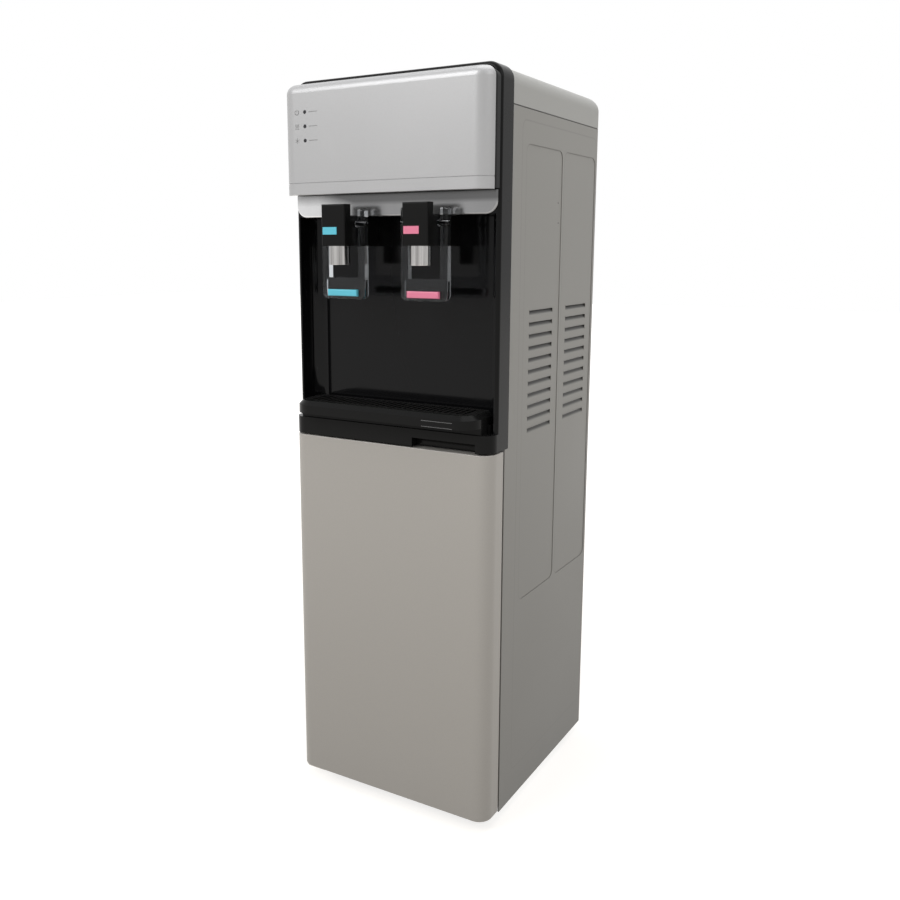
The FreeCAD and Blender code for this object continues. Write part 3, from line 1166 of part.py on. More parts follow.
def water_pipes():
    """The silicone hoses: probe to pump, pump to cold tank, tank to tank, tanks to taps, drain."""
    z_shelf = up(TANK_SHELF_UP)
    z_pump = up(APRON_LOW) + PUMP_UP
    z_cap = up(PROBE_LOW) + PROBE_L + CAP_H + 8.0
    x_head = PUMP_X + PUMP_L / 2.0 + 6.0
    pipes = [bent_pipe(PIPE_R, [(PROBE_X, PROBE_Y, z_cap), (PROBE_X, PROBE_Y, z_pump), (x_head, PROBE_Y, z_pump)], 9.0)]
    x_out = PUMP_X - 8.0
    z_high = up(SIDE_H - 45.0)
    z_tank = z_shelf + FOAM + COLD_H
    path = [(x_out, PROBE_Y, z_pump + PUMP_R + 8.0), (x_out, PROBE_Y, z_high), (COLD_X, TANK_Y, z_high), (COLD_X, TANK_Y, z_tank)]
    pipes.append(bent_pipe(PIPE_R, path, 10.0))
    z_cold = z_shelf + FOAM + DRAIN_UP
    z_hot = z_shelf + FOAM + HOT_H - DRAIN_UP
    pipes.append(rod(PIPE_R, (COLD_X + COLD_R, TANK_Y, z_cold), (HOT_X - HOT_R, TANK_Y, z_cold)))
    y_tap = EDGE_UP_Y + SHANK_L
    y_mid = y_tap + PIPE_BEND + 2.0
    z_way = up(TAP_LOW + SHANK_UP)
    for x0, x1, radius, z in ((COLD_X, TAP_X["cold"], COLD_R, z_cold), (HOT_X, TAP_X["hot"], HOT_R, z_hot)):
        path = [(x0, TANK_Y - radius, z), (x0, y_mid, z), (x1, y_mid, z_way), (x1, y_tap, z_way)]
        pipes.append(bent_pipe(PIPE_R, path, PIPE_BEND))
    pipes.append(rod(PIPE_R, (HOT_X, TANK_Y + HOT_R, z_cold), (HOT_X, SHEET_Y - 6.0, z_cold)))
    return group(pipes)


def drain_spout():
    """The hot tank's drain: a tube through the back panel with a flange on either side."""
    z = drain_height()
    y1 = SHEET_Y + SHEET
    inner = rod(DRAIN_R + 3.0, (HOT_X, SHEET_Y - 3.0, z), (HOT_X, SHEET_Y, z))
    tube = rod(DRAIN_R, (HOT_X, SHEET_Y - 6.0, z), (HOT_X, y1, z))
    flange = rod(DRAIN_R + 3.0, (HOT_X, y1, z), (HOT_X, y1 + 2.0, z))
    nose = rod(DRAIN_R - 3.0, (HOT_X, y1 + 2.0, z), (HOT_X, y1 + 2.0 + DRAIN_L, z))
    bore = rod(PIPE_R - 1.0, (HOT_X, SHEET_Y - 7.0, z), (HOT_X, y1 + 3.0 + DRAIN_L, z))
    return tube.fuse([inner, flange, nose]).cut(bore).removeSplitter()


def drain_cap():
    """The cap over the drain's nose, ribbed for the fingers."""
    z = drain_height()
    y0 = SHEET_Y + SHEET + 2.0 + SLIDE
    y1 = y0 + DRAIN_L + CAP_WALL
    r = DRAIN_R - 3.0 + FIT
    cap = rod(r + CAP_WALL, (HOT_X, y0, z), (HOT_X, y1, z))
    ribs = []
    for k in range(12):
        angle = math.radians(30.0 * k)
        x = HOT_X + (r + CAP_WALL) * math.cos(angle)
        zr = z + (r + CAP_WALL) * math.sin(angle)
        ribs.append(rod(0.8, (x, y0 + 2.0, zr), (x, y1, zr)))
    return cap.fuse(ribs).cut(rod(r, (HOT_X, y0 - 1.0, z), (HOT_X, y0 + DRAIN_L, z))).removeSplitter()


def control_box():
    """The electrical box on the back panel, with its lid's rim."""
    x0, x1 = BOX_X - BOX_W / 2.0, BOX_X + BOX_W / 2.0
    z0, z1 = up(BOX_UP), up(BOX_UP + BOX_H)
    y0 = SHEET_Y - BOX_D
    box = block(x0, x1, y0, SHEET_Y, z0, z1)
    rim = block(x0 - 1.5, x1 + 1.5, y0, y0 + 8.0, z0 - 1.5, z1 + 1.5)
    hollow = block(x0 + SHELL, x1 - SHELL, y0 + SHELL, SHEET_Y + 1.0, z0 + SHELL, z1 - SHELL)
    return box.fuse(rim).cut(hollow).removeSplitter()


def switch_axle(x):
    """Axle place of one rear switch."""
    return FreeCAD.Vector(x, SHEET_Y + SHEET + SWITCH_RIM, up(SWITCH_UP + SWITCH_H / 2.0))


def switch_frames():
    """The snap-in frames of the rear switches."""
    frames = []
    for x in SWITCH_X:
        axle = switch_axle(x)
        half, z0, z1 = SWITCH_W / 2.0, up(SWITCH_UP), up(SWITCH_UP + SWITCH_H)
        y1 = SHEET_Y + SHEET
        body = block(x - half, x + half, y1 - SWITCH_D, y1, z0, z1)
        rim = block(x - half - 2.0, x + half + 2.0, y1, y1 + SWITCH_RIM, z0 - 2.0, z1 + 2.0)
        well = block(x - half + 2.0, x + half - 2.0, axle.y - 7.0, y1 + SWITCH_RIM + 1.0, z0 + 1.5, z1 - 1.5)
        sockets = rod(1.5 + RUN, (x - half + 0.5, axle.y - 2.0, axle.z), (x + half - 0.5, axle.y - 2.0, axle.z))
        frames.append(body.fuse(rim).cut([well, sockets]).removeSplitter())
    return group(frames)


def switch_rocker(x):
    """One rocker with its axle, leaning to the side that is pressed."""
    axle = switch_axle(x)
    half = SWITCH_W / 2.0 - 2.0 - FIT
    y, z = axle.y - 2.0, axle.z
    tall = SWITCH_H / 2.0 - 2.3
    points = [(x - half, y - 2.0, z - tall), (x - half, y + 3.6, z - tall), (x - half, y + 2.4, z),
              (x - half, y + 3.6, z + tall), (x - half, y - 2.0, z + tall)]
    body = prism(points, (2.0 * half, 0, 0))
    pin = rod(1.5, (x - half - 1.6, y, z), (x + half + 1.6, y, z))
    rocker = body.fuse(pin).removeSplitter()
    rocker.rotate(FreeCAD.Vector(x, y, z), FreeCAD.Vector(1, 0, 0), ROCK)
    return rocker


def power_gland():
    """The bush in the back panel that the supply cord would pass."""
    y1 = SHEET_Y + SHEET
    z = up(GLAND_UP)
    neck = rod(GLAND_R, (GLAND_X, SHEET_Y - 4.0, z), (GLAND_X, y1, z))
    flange = rod(GLAND_R + 3.0, (GLAND_X, y1, z), (GLAND_X, y1 + 3.0, z))
    nose = Part.makeCone(GLAND_R, GLAND_BORE + 2.0, 8.0, FreeCAD.Vector(GLAND_X, y1 + 3.0, z), FreeCAD.Vector(0, 1, 0))
    lock = rod(GLAND_R + 2.0, (GLAND_X, SHEET_Y - 3.0, z), (GLAND_X, SHEET_Y, z))
    bore = rod(GLAND_BORE, (GLAND_X, SHEET_Y - 5.0, z), (GLAND_X, y1 + 12.0, z))
    return neck.fuse([flange, nose, lock]).cut(bore).removeSplitter()


def build():
    """Every node's name and shape."""
    shapes = {
        "base_pan": base_pan(),
        "left_side_panel": side_panel(-1),
        "right_side_panel": side_panel(1),
        "machine_deck": machine_deck(),
        "tank_shelf": tank_shelf(),
        "back_panel": back_panel(),
        "back_screws": back_screws(),
        "levelling_feet": levelling_feet(),
        "bottle_floor": bottle_floor(),
        "top_cover": top_cover(),
        "front_bezel": front_bezel(),
        "splash_panel": splash_panel(),
        "control_panel": control_panel(),
        "indicator_lenses": indicator_lenses(),
        "indicator_board": indicator_board(),
        "chin_trim": chin_trim(),
        "tray_housing": tray_housing(),
        "drip_tray": drip_tray(),
        "drip_grille": drip_grille(),
        "tap_nozzles": tap_nozzles(),
        "tap_nuts": tap_nuts(),
        "tap_pins": tap_pins(),
        "door_skin": door_skin(),
        "door_liner": door_liner(),
        "hinge_blocks": hinge_blocks(),
        "hinge_brackets": group([lower_hinge(), upper_hinge()]),
        "door_magnet": door_magnet(),
        "compressor": compressor(),
        "compressor_mounts": compressor_mounts(),
        "cold_foam": cold_foam(),
        "cold_tank": tank(COLD_X, COLD_R, COLD_H),
        "evaporator_coil": evaporator_coil(),
        "hot_foam": hot_foam(),
        "hot_tank": tank(HOT_X, HOT_R, HOT_H),
        "heater_band": heater_band(),
        "refrigerant_lines": refrigerant_lines(),
        "filter_drier": filter_drier(),
        "condenser": condenser(),
        "water_pump": water_pump(),
        "suction_probe": suction_probe(),
        "water_pipes": water_pipes(),
        "drain_spout": drain_spout(),
        "drain_cap": drain_cap(),
        "control_box": control_box(),
        "switch_frames": switch_frames(),
        "power_gland": power_gland(),
    }
    for side, x0 in TAP_X.items():
        shapes[side + "_tap_body"] = tap_body(x0)
        shapes[side + "_valve_stem"] = valve_stem(x0)
        shapes[side + "_stem_spring"] = stem_spring(x0)
        shapes[side + "_tap_badge"] = tap_badge(x0)
        shapes[side + "_paddle"] = tap_paddle(x0)
        shapes[side + "_paddle_bar"] = paddle_bar(x0)
    for name, x in zip(("cold_rocker", "hot_rocker"), SWITCH_X):
        shapes[name] = switch_rocker(x)
    return shapes


os.makedirs("parts", exist_ok=True)
for node, shape in build().items():
    shape.exportStep("parts/" + node + ".step")
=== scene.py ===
"""Looks of a free-standing bottom-load water cooler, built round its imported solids.

Lengths are in metres in the part's own frame: +Z up, +X to the right, the front faces -Y.
"""
import logging
import math
from dataclasses import dataclass, field
from enum import Enum
from typing import Optional, Sequence, Union

import bpy
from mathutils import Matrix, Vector
from mathutils.bvhtree import BVHTree


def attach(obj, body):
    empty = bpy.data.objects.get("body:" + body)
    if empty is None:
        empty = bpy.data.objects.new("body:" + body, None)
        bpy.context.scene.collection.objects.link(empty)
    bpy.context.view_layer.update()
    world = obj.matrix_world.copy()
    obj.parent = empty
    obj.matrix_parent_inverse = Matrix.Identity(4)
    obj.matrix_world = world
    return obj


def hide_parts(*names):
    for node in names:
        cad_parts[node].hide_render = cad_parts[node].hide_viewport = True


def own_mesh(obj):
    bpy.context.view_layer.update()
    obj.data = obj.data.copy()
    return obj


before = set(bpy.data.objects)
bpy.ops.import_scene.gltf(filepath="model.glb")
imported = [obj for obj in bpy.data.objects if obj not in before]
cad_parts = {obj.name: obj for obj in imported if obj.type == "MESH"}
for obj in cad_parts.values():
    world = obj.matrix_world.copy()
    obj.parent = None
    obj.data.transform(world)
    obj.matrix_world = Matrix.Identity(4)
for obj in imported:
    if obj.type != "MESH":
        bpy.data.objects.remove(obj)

LOG = logging.getLogger("water_cooler")
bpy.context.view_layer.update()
MM = 0.001
RING_STEPS = 18
ROD_SIDES = 8
Colour = tuple[float, float, float]
Point = tuple[float, float, float]
Line = list[tuple[float, float]]
Feed = Union[bpy.types.NodeSocket, float, int, bool, Sequence[float], bpy.types.Material]


class Texture(Enum):
    """What covers a surface at the scale of a finger tip."""

    ORANGE_PEEL = "sprayed paint"
    MOULD_GRAIN = "fine mould grain"
    POLISHED = "polished"
    BRUSHED = "brushed along one way"
    SPANGLE = "zinc spangle"
    CELLS = "foam cells"


class Water(Enum):
    """Which of the two waters a tap, switch or tank serves."""

    COLD = "cold"
    HOT = "hot"


# ---------------------------------------------------------------------------------------------
# Node trees
# ---------------------------------------------------------------------------------------------
class Wiring:
    """Short ways to add, set and link the nodes of one tree."""

    def __init__(self, tree: bpy.types.NodeTree) -> None:
        """Keeps the tree that is worked on."""
        self.tree = tree

    def feed(self, socket: bpy.types.NodeSocket, value: Feed) -> None:
        """Links or sets one input.

        Args:
            socket: The input.
            value: An output socket to link, or a plain value to set.
        """
        if isinstance(value, bpy.types.NodeSocket):
            self.tree.links.new(value, socket)
        else:
            socket.default_value = value

    def add(self, kind: str, inputs: Optional[dict[Union[str, int], Feed]] = None,
            **settings: object) -> bpy.types.Node:
        """Adds a node.

        Args:
            kind: The node's type name.
            inputs: What each input is fed with.
            settings: The node's own settings.

        Returns:
            The node.
        """
        node = self.tree.nodes.new(kind)
        for key, value in settings.items():
            setattr(node, key, value)
        for key, value in (inputs or {}).items():
            self.feed(node.inputs[key], value)
        return node

    def math(self, operation: str, *values: Feed, clamp: bool = False) -> bpy.types.NodeSocket:
        """Adds one sum.

        Args:
            operation: The Math node's operation.
            values: Its operands.
            clamp: Whether the result is kept between 0 and 1.

        Returns:
            The result's socket.
        """
        node = self.add("ShaderNodeMath", dict(enumerate(values)), operation=operation, use_clamp=clamp)
        return node.outputs[0]

    def ramp(self, value: Feed, low: float, high: float) -> bpy.types.NodeSocket:
        """A smooth rise from 0 at one value to 1 at another.

        Args:
            value: What is read.
            low: Where the rise starts.
            high: Where it ends.

        Returns:
            The result's socket.
        """
        node = self.add("ShaderNodeMapRange", {"Value": value, "From Min": low, "From Max": high},
                        interpolation_type="SMOOTHSTEP")
        return node.outputs["Result"]

    def blend(self, share: Feed, first: Feed, second: Feed, way: str = "MIX") -> bpy.types.NodeSocket:
        """Mixes two colours.

        Args:
            share: How much of the second.
            first: The first colour.
            second: The second colour.
            way: The blend type.

        Returns:
            The mixed colour's socket.
        """
        node = self.add("ShaderNodeMix", data_type="RGBA", blend_type=way)
        for name, value in (("Factor", share), ("A", first), ("B", second)):
            coloured = name != "Factor"
            self.feed(next(s for s in node.inputs if s.name == name and (s.type == "RGBA") == coloured), value)
        return next(s for s in node.outputs if s.type == "RGBA")

    def place(self) -> bpy.types.NodeSocket:
        """Where a shaded point lies in the object's own coordinates."""
        return self.add("ShaderNodeTexCoord").outputs["Object"]

    def axes(self) -> dict[str, bpy.types.NodeSocket]:
        """The shaded point's X, Y and Z in the object's own coordinates."""
        return {s.name: s for s in self.add("ShaderNodeSeparateXYZ", {0: self.place()}).outputs}

    def slope(self, value: Feed, low: Feed, high: Feed) -> bpy.types.NodeSocket:
        """A straight rise from 0 at one value to 1 at another, held beyond both."""
        return self.add("ShaderNodeMapRange", {"Value": value, "From Min": low, "From Max": high}).outputs["Result"]

    def hairline(self, gap: Feed, reach: Feed, low: float, high: float) -> bpy.types.NodeSocket:
        """One on a line, falling to 0 between two shares of a reach away from it.

        Args:
            gap: How far the point lies from the line.
            reach: The distance that counts as 1.
            low: The share where the fall starts.
            high: The share where it ends.

        Returns:
            The result's socket.
        """
        return self.math("SUBTRACT", 1.0, self.ramp(self.math("DIVIDE", gap, reach), low, high))


class EffectGroups:
    """Shader effects that several finishes share, each built once."""

    def __init__(self) -> None:
        """Starts with no groups built."""
        self.made: dict[str, bpy.types.NodeTree] = {}

    def _start(self, name: str, inputs: dict[str, Feed],
               outputs: Sequence[str]) -> tuple[Wiring, dict, bpy.types.Node]:
        """Starts a group with named sockets.

        Args:
            name: The group's name.
            inputs: The default value of each input; a sequence makes a colour input.
            outputs: The outputs' names; Color is a colour and the others are numbers.

        Returns:
            The group's wiring, its inputs' sockets by name, and its output node.
        """
        tree = bpy.data.node_groups.new(name, "ShaderNodeTree")
        for label, value in inputs.items():
            kind = "NodeSocketFloat" if isinstance(value, float) else "NodeSocketColor"
            tree.interface.new_socket(name=label, in_out="INPUT", socket_type=kind).default_value = value
        for label in outputs:
            kind = "NodeSocketColor" if label == "Color" else "NodeSocketFloat"
            tree.interface.new_socket(name=label, in_out="OUTPUT", socket_type=kind)
        wires = Wiring(tree)
        given, out = wires.add("NodeGroupInput"), wires.add("NodeGroupOutput")
        self.made[name] = tree
        return wires, {s.name: s for s in given.outputs}, out

    def tone(self) -> bpy.types.NodeTree:
        """Slow drifts of tone and gloss, finger smudges, and faint dust on what faces up.

        Returns:
            The group's tree, with outputs Color and Roughness.
        """
        if "surface_tone" in self.made:
            return self.made["surface_tone"]
        wires, given, out = self._start("surface_tone", {
            "Color": (0.5, 0.5, 0.5, 1.0), "Drift": 0.04, "Drift Scale": 6.0, "Dust": 0.05,
            "Roughness": 0.4, "Rough Drift": 0.06, "Smudge": 0.0}, ("Color", "Roughness"))
        place = wires.place()
        slow = wires.add("ShaderNodeTexNoise", {"Vector": place, "Scale": given["Drift Scale"], "Detail": 3.0})
        centred = wires.math("SUBTRACT", slow.outputs["Fac"], 0.5)
        swing = wires.math("MULTIPLY_ADD", centred, given["Drift"], 1.0)
        toned = wires.add("ShaderNodeVectorMath", {0: given["Color"], "Scale": swing}, operation="SCALE")
        facing = wires.add("ShaderNodeNewGeometry").outputs["Normal"]
        upward = wires.ramp(wires.add("ShaderNodeSeparateXYZ", {0: facing}).outputs["Z"], 0.6, 1.0)
        specks = wires.add("ShaderNodeTexNoise", {"Vector": place, "Scale": 180.0, "Detail": 4.0})
        dust = wires.math("MULTIPLY", wires.math("MULTIPLY", upward, specks.outputs["Fac"]), given["Dust"])
        wires.feed(out.inputs["Color"], wires.blend(dust, toned.outputs[0], (0.62, 0.60, 0.56, 1.0)))
        touched = wires.add("ShaderNodeTexNoise", {"Vector": place, "Scale": 17.0, "Detail": 2.0})
        lines = wires.add("ShaderNodeTexNoise", {"Vector": place, "Scale": 420.0, "Detail": 1.0})
        patch = wires.math("MULTIPLY", wires.ramp(touched.outputs["Fac"], 0.56, 0.72), lines.outputs["Fac"])
        rough = wires.math("MULTIPLY_ADD", centred, given["Rough Drift"], given["Roughness"])
        smudged = wires.math("MULTIPLY_ADD", patch, given["Smudge"], rough)
        wires.feed(out.inputs["Roughness"], wires.math("MULTIPLY_ADD", dust, 0.6, smudged, clamp=True))
        return wires.tree

    def relief(self, kind: Texture) -> bpy.types.NodeTree:
        """The height of one kind of fine surface relief, and its mask.

        Args:
            kind: Which relief.

        Returns:
            The group's tree, with outputs Height and Mask.
        """
        key = "relief_" + kind.name.lower()
        if key in self.made:
            return self.made[key]
        wires, given, out = self._start(key, {"Scale": 400.0, "Depth": 1.0}, ("Height", "Mask"))
        stretch = (1.0, 1.0, 0.02) if kind is Texture.BRUSHED else (1.0, 1.0, 1.0)
        spread = wires.add("ShaderNodeMapping", {"Vector": wires.place(), "Scale": stretch}).outputs["Vector"]
        if kind in (Texture.SPANGLE, Texture.CELLS):
            pattern = wires.add("ShaderNodeTexVoronoi", {"Vector": spread, "Scale": given["Scale"]})
            value = pattern.outputs["Color" if kind is Texture.SPANGLE else "Distance"]
        else:
            detail = {Texture.ORANGE_PEEL: 1.0, Texture.POLISHED: 0.0}.get(kind, 6.0)
            pattern = wires.add("ShaderNodeTexNoise", {"Vector": spread, "Scale": given["Scale"], "Detail": detail})
            value = pattern.outputs["Fac"]
        wires.feed(out.inputs["Height"], wires.math("MULTIPLY", value, given["Depth"]))
        wires.feed(out.inputs["Mask"], value)
        return wires.tree

    def louvre_shade(self) -> bpy.types.NodeTree:
        """How deep a point lies in a pressed louvre of a side sheet, for the painted shade and dirt deep in each
        louvre.

        Returns:
            The group's tree, with the output Mask, 0 on the sheet and 1 deep in a louvre.
        """
        if "louvre_painted_shade" in self.made:
            return self.made["louvre_painted_shade"]
        wires, given, out = self._start("louvre_painted_shade", {
            "Face": 0.16, "Start": 0.0009, "Full": 0.0021, "Low": 0.55, "High": 0.73, "Front": -0.06, "Back": 0.163},
            ("Mask",))
        axes = wires.axes()
        depth = wires.math("SUBTRACT", given["Face"], wires.math("ABSOLUTE", axes["X"]))
        mask = wires.slope(depth, given["Start"], given["Full"])
        for axis, low, high in (("Z", "Low", "High"), ("Y", "Front", "Back")):
            mask = wires.math("MULTIPLY", mask, wires.math("GREATER_THAN", axes[axis], given[low]))
            mask = wires.math("MULTIPLY", mask, wires.math("LESS_THAN", axes[axis], given[high]))
        wires.feed(out.inputs["Mask"], mask)
        return wires.tree

    def seam(self) -> bpy.types.NodeTree:
        """A painted shadow line where two panels meet at one height.

        Returns:
            The group's tree, with the output Mask.
        """
        if "panel_seam_painted_shadow" in self.made:
            return self.made["panel_seam_painted_shadow"]
        wires, given, out = self._start("panel_seam_painted_shadow", {"Level": 0.985, "Half": 0.0008}, ("Mask",))
        off = wires.math("ABSOLUTE", wires.math("SUBTRACT", wires.axes()["Z"], given["Level"]))
        wires.feed(out.inputs["Mask"], wires.hairline(off, given["Half"], 0.5, 1.3))
        return wires.tree

    def pressed_edge_shade(self) -> bpy.types.NodeTree:
        """The painted shade along the rounded edge of a field pressed in a side sheet.

        Returns:
            The group's tree, with the output Mask, 1 on the edge and 0 a reach away from it.
        """
        if "pressed_edge_painted_shade" in self.made:
            return self.made["pressed_edge_painted_shade"]
        wires, given, out = self._start("pressed_edge_painted_shade", {"Middle Y": 0.0, "Half Y": 0.05, "Middle Z": 0.6,
                                                         "Half Z": 0.3, "Corner": 0.012, "Reach": 0.0016}, ("Mask",))
        axes, over = wires.axes(), []
        for axis in ("Y", "Z"):
            away = wires.math("ABSOLUTE", wires.math("SUBTRACT", axes[axis], given["Middle " + axis]))
            over.append(wires.math("ADD", wires.math("SUBTRACT", away, given["Half " + axis]), given["Corner"]))
        outside = [wires.math("MAXIMUM", value, 0.0) for value in over]
        round_off = wires.math("SQRT", wires.math("ADD", *[wires.math("MULTIPLY", v, v) for v in outside]))
        inside = wires.math("MINIMUM", wires.math("MAXIMUM", *over), 0.0)
        gap = wires.math("ABSOLUTE", wires.math("SUBTRACT", wires.math("ADD", round_off, inside), given["Corner"]))
        wires.feed(out.inputs["Mask"], wires.hairline(gap, given["Reach"], 0.0, 1.0))
        return wires.tree

    def fall(self) -> bpy.types.NodeTree:
        """How far down a tall face a point lies, for the painted shade that darkens the paint toward the floor.

        Returns:
            The group's tree, with the output Mask, 0 from the height High up and 1 at Low.
        """
        if "painted_floor_shade" in self.made:
            return self.made["painted_floor_shade"]
        wires, given, out = self._start("painted_floor_shade", {"Low": 0.02, "High": 0.95}, ("Mask",))
        rise = wires.slope(wires.axes()["Z"], given["Low"], given["High"])
        wires.feed(out.inputs["Mask"], wires.math("SUBTRACT", 1.0, rise))
        return wires.tree

    def sweep(self) -> bpy.types.NodeTree:
        """The painted dark reflection that a polished trim shows under the edge above it and away from its bright
        end.

        Returns:
            The group's tree, with the output Mask.
        """
        if "trim_painted_reflection" in self.made:
            return self.made["trim_painted_reflection"]
        wires, given, out = self._start("trim_painted_reflection", {
            "Bright X": -0.12, "Dark X": -0.06, "Low": 0.864, "High": 0.876, "Along": 0.72, "Under": 0.6}, ("Mask",))
        axes = wires.axes()
        first = wires.math("MULTIPLY", wires.slope(axes["X"], given["Bright X"], given["Dark X"]), given["Along"])
        under = wires.slope(axes["Z"], given["Low"], given["High"])
        wires.feed(out.inputs["Mask"], wires.math("MULTIPLY_ADD", under, given["Under"], first, clamp=True))
        return wires.tree


EFFECTS = EffectGroups()

# Edges on each side sheet that get painted shade, in millimetres: middle and half size along Y, the same along Z, and
# the share of painted shade on that edge. The first two are the pressed fields and the last is a faint step round
# them that the solid doesn't have, drawn only as painted shade.
PRESSED_FIELDS: tuple[tuple[float, float, float, float, float], ...] = (
    (-5.6, 60.5, 628.0, 313.0, 0.3), (122.4, 60.5, 628.0, 313.0, 0.3), (52.2, 132.2, 515.0, 455.0, 0.2))


# ---------------------------------------------------------------------------------------------
# Finishes
# ---------------------------------------------------------------------------------------------
EDGE_PAINTED_SHADE = 0.35       # share of the paint's colour left in the painted shade along a pressed edge
LOUVRE_PAINTED_SHADE = 0.06     # the same in the painted shade deep in a louvre
SEAM_PAINTED_SHADOW = 0.15       # the same in the painted shadow of the gap between two panels
FLOOR_PAINTED_SHADE = 0.5       # the same at the floor, in the painted shade that darkens the paint toward it
TRIM_PAINTED_REFLECTION = 0.22      # the same in the painted dark reflection of a polished trim
BUMP_DISTANCE = 0.0004


@dataclass(frozen=True)
class Finish:
    """One surface finish: its colour, gloss, relief, how far each drifts, and which shared effects it wears."""

    name: str
    colour: Colour
    roughness: float = 0.4
    metallic: float = 0.0
    coat: float = 0.0
    coat_roughness: float = 0.08
    specular: float = 0.5
    texture: Texture = Texture.MOULD_GRAIN
    grain: float = 900.0
    relief: float = 0.15
    drift: float = 0.05
    drift_scale: float = 5.0
    dust: float = 0.06
    smudge: float = 0.0
    transmission: float = 0.0
    ior: float = 1.5
    anisotropy: float = 0.0
    flake: float = 0.0
    louvred: bool = False
    seam: bool = False
    # Share of painted shade that darkens the paint toward the floor, and the height it starts from.
    fall: float = 0.0
    fall_from: float = 0.95
    # Whether the finish wears the painted dark reflection of a polished trim.
    swept: bool = False

    def _darker(self, share: float) -> tuple[float, float, float, float]:
        """The finish's colour at a share of its strength."""
        return (*(c * share for c in self.colour), 1.0)

    def material(self) -> bpy.types.Material:
        """The finish as a material, made once.

        Returns:
            The material.
        """
        found = bpy.data.materials.get(self.name)
        if found is not None and found.get("finish_done"):
            return found
        made = bpy.data.materials.new(self.name)
        made["finish_done"] = True
        made.use_nodes = True
        wires = Wiring(made.node_tree)
        shader = made.node_tree.nodes["Principled BSDF"]
        tone = wires.add("ShaderNodeGroup", {
            "Color": (*self.colour, 1.0), "Drift": self.drift, "Drift Scale": self.drift_scale, "Dust": self.dust,
            "Roughness": self.roughness, "Rough Drift": min(0.12, self.roughness * 0.3), "Smudge": self.smudge},
            node_tree=EFFECTS.tone())
        relief = wires.add("ShaderNodeGroup", {"Scale": self.grain}, node_tree=EFFECTS.relief(self.texture))
        colour = tone.outputs["Color"]
        if self.flake > 0.0:
            colour = wires.blend(self.flake, colour, relief.outputs["Mask"], "OVERLAY")
        if self.louvred:
            # Painted shade along the edges of the pressed fields.
            for middle_y, half_y, middle_z, half_z, share in PRESSED_FIELDS:
                edge = wires.add("ShaderNodeGroup", {
                    "Middle Y": middle_y * MM, "Half Y": half_y * MM, "Middle Z": middle_z * MM,
                    "Half Z": half_z * MM}, node_tree=EFFECTS.pressed_edge_shade())
                shade = wires.math("MULTIPLY", edge.outputs["Mask"], share)
                colour = wires.blend(shade, colour, self._darker(EDGE_PAINTED_SHADE))
            # Painted shade, with some dirt, deep in each louvre of the side sheets.
            deep = wires.add("ShaderNodeGroup", node_tree=EFFECTS.louvre_shade())
            colour = wires.blend(deep.outputs["Mask"], colour, self._darker(LOUVRE_PAINTED_SHADE))
        # Painted shadow in the gap where the side sheets meet the cover.
        if self.seam:
            line = wires.add("ShaderNodeGroup", node_tree=EFFECTS.seam())
            colour = wires.blend(line.outputs["Mask"], colour, self._darker(SEAM_PAINTED_SHADOW))
        # Painted shade: the paint darker toward the floor.
        if self.fall > 0.0:
            down = wires.add("ShaderNodeGroup", {"High": self.fall_from}, node_tree=EFFECTS.fall())
            shade = wires.math("MULTIPLY", down.outputs["Mask"], self.fall)
            colour = wires.blend(shade, colour, self._darker(FLOOR_PAINTED_SHADE))
        # Painted reflection: the trim darker under the panel's edge and toward its right.
        if self.swept:
            dark = wires.add("ShaderNodeGroup", node_tree=EFFECTS.sweep())
            colour = wires.blend(dark.outputs["Mask"], colour, self._darker(TRIM_PAINTED_REFLECTION))
        bump = wires.add("ShaderNodeBump", {"Strength": self.relief, "Distance": BUMP_DISTANCE,
                                            "Height": relief.outputs["Height"]})
        for label, value in (("Base Color", colour), ("Roughness", tone.outputs["Roughness"]),
                             ("Normal", bump.outputs["Normal"]), ("Metallic", self.metallic),
                             ("Coat Weight", self.coat), ("Coat Roughness", self.coat_roughness),
                             ("Specular IOR Level", self.specular), ("Transmission Weight", self.transmission),
                             ("IOR", self.ior), ("Anisotropic", self.anisotropy)):
            wires.feed(shader.inputs[label], value)
        return made

    def on(self, *targets: bpy.types.Object) -> None:
        """Puts the finish in every slot of some objects.

        Args:
            targets: The objects.
        """
        made = self.material()
        for thing in targets:
            if not thing.data.materials:
                thing.data.materials.append(made)
            for slot in thing.material_slots:
                slot.material = made


def paint(name: str, colour: Colour, **more: object) -> Finish:
    """A sprayed satin paint on steel."""
    base = dict(roughness=0.38, coat=0.15, texture=Texture.ORANGE_PEEL, grain=700.0, relief=0.05)
    return Finish(name, colour, **{**base, **more})


def moulded(name: str, colour: Colour, **more: object) -> Finish:
    """A moulded plastic with a fine grain."""
    base = dict(roughness=0.5, texture=Texture.MOULD_GRAIN, grain=1500.0, relief=0.12)
    return Finish(name, colour, **{**base, **more})


def gloss(name: str, colour: Colour, **more: object) -> Finish:
    """A polished moulding."""
    base = dict(roughness=0.16, texture=Texture.POLISHED, grain=60.0, relief=0.02, drift=0.03)
    return Finish(name, colour, **{**base, **more})


def metal(name: str, colour: Colour, **more: object) -> Finish:
    """A bare metal."""
    base = dict(roughness=0.3, metallic=1.0, texture=Texture.BRUSHED, grain=900.0, relief=0.08, dust=0.02)
    return Finish(name, colour, **{**base, **more})


# The side paint wears painted shade along its pressed edges, deep in its louvres, at its seam with the cover and
# toward the floor.
SIDE_PAINT = paint("side_paint", (0.335, 0.328, 0.308), roughness=0.42, coat=0.0, specular=0.3,
                   louvred=True, seam=True, fall=0.7)
# The door paint is painted darker toward the floor.
DOOR_PAINT = paint("door_paint", (0.418, 0.400, 0.374), roughness=0.42, metallic=0.2, coat=0.04, specular=0.25,
                   flake=0.05, fall=0.28, fall_from=0.55)
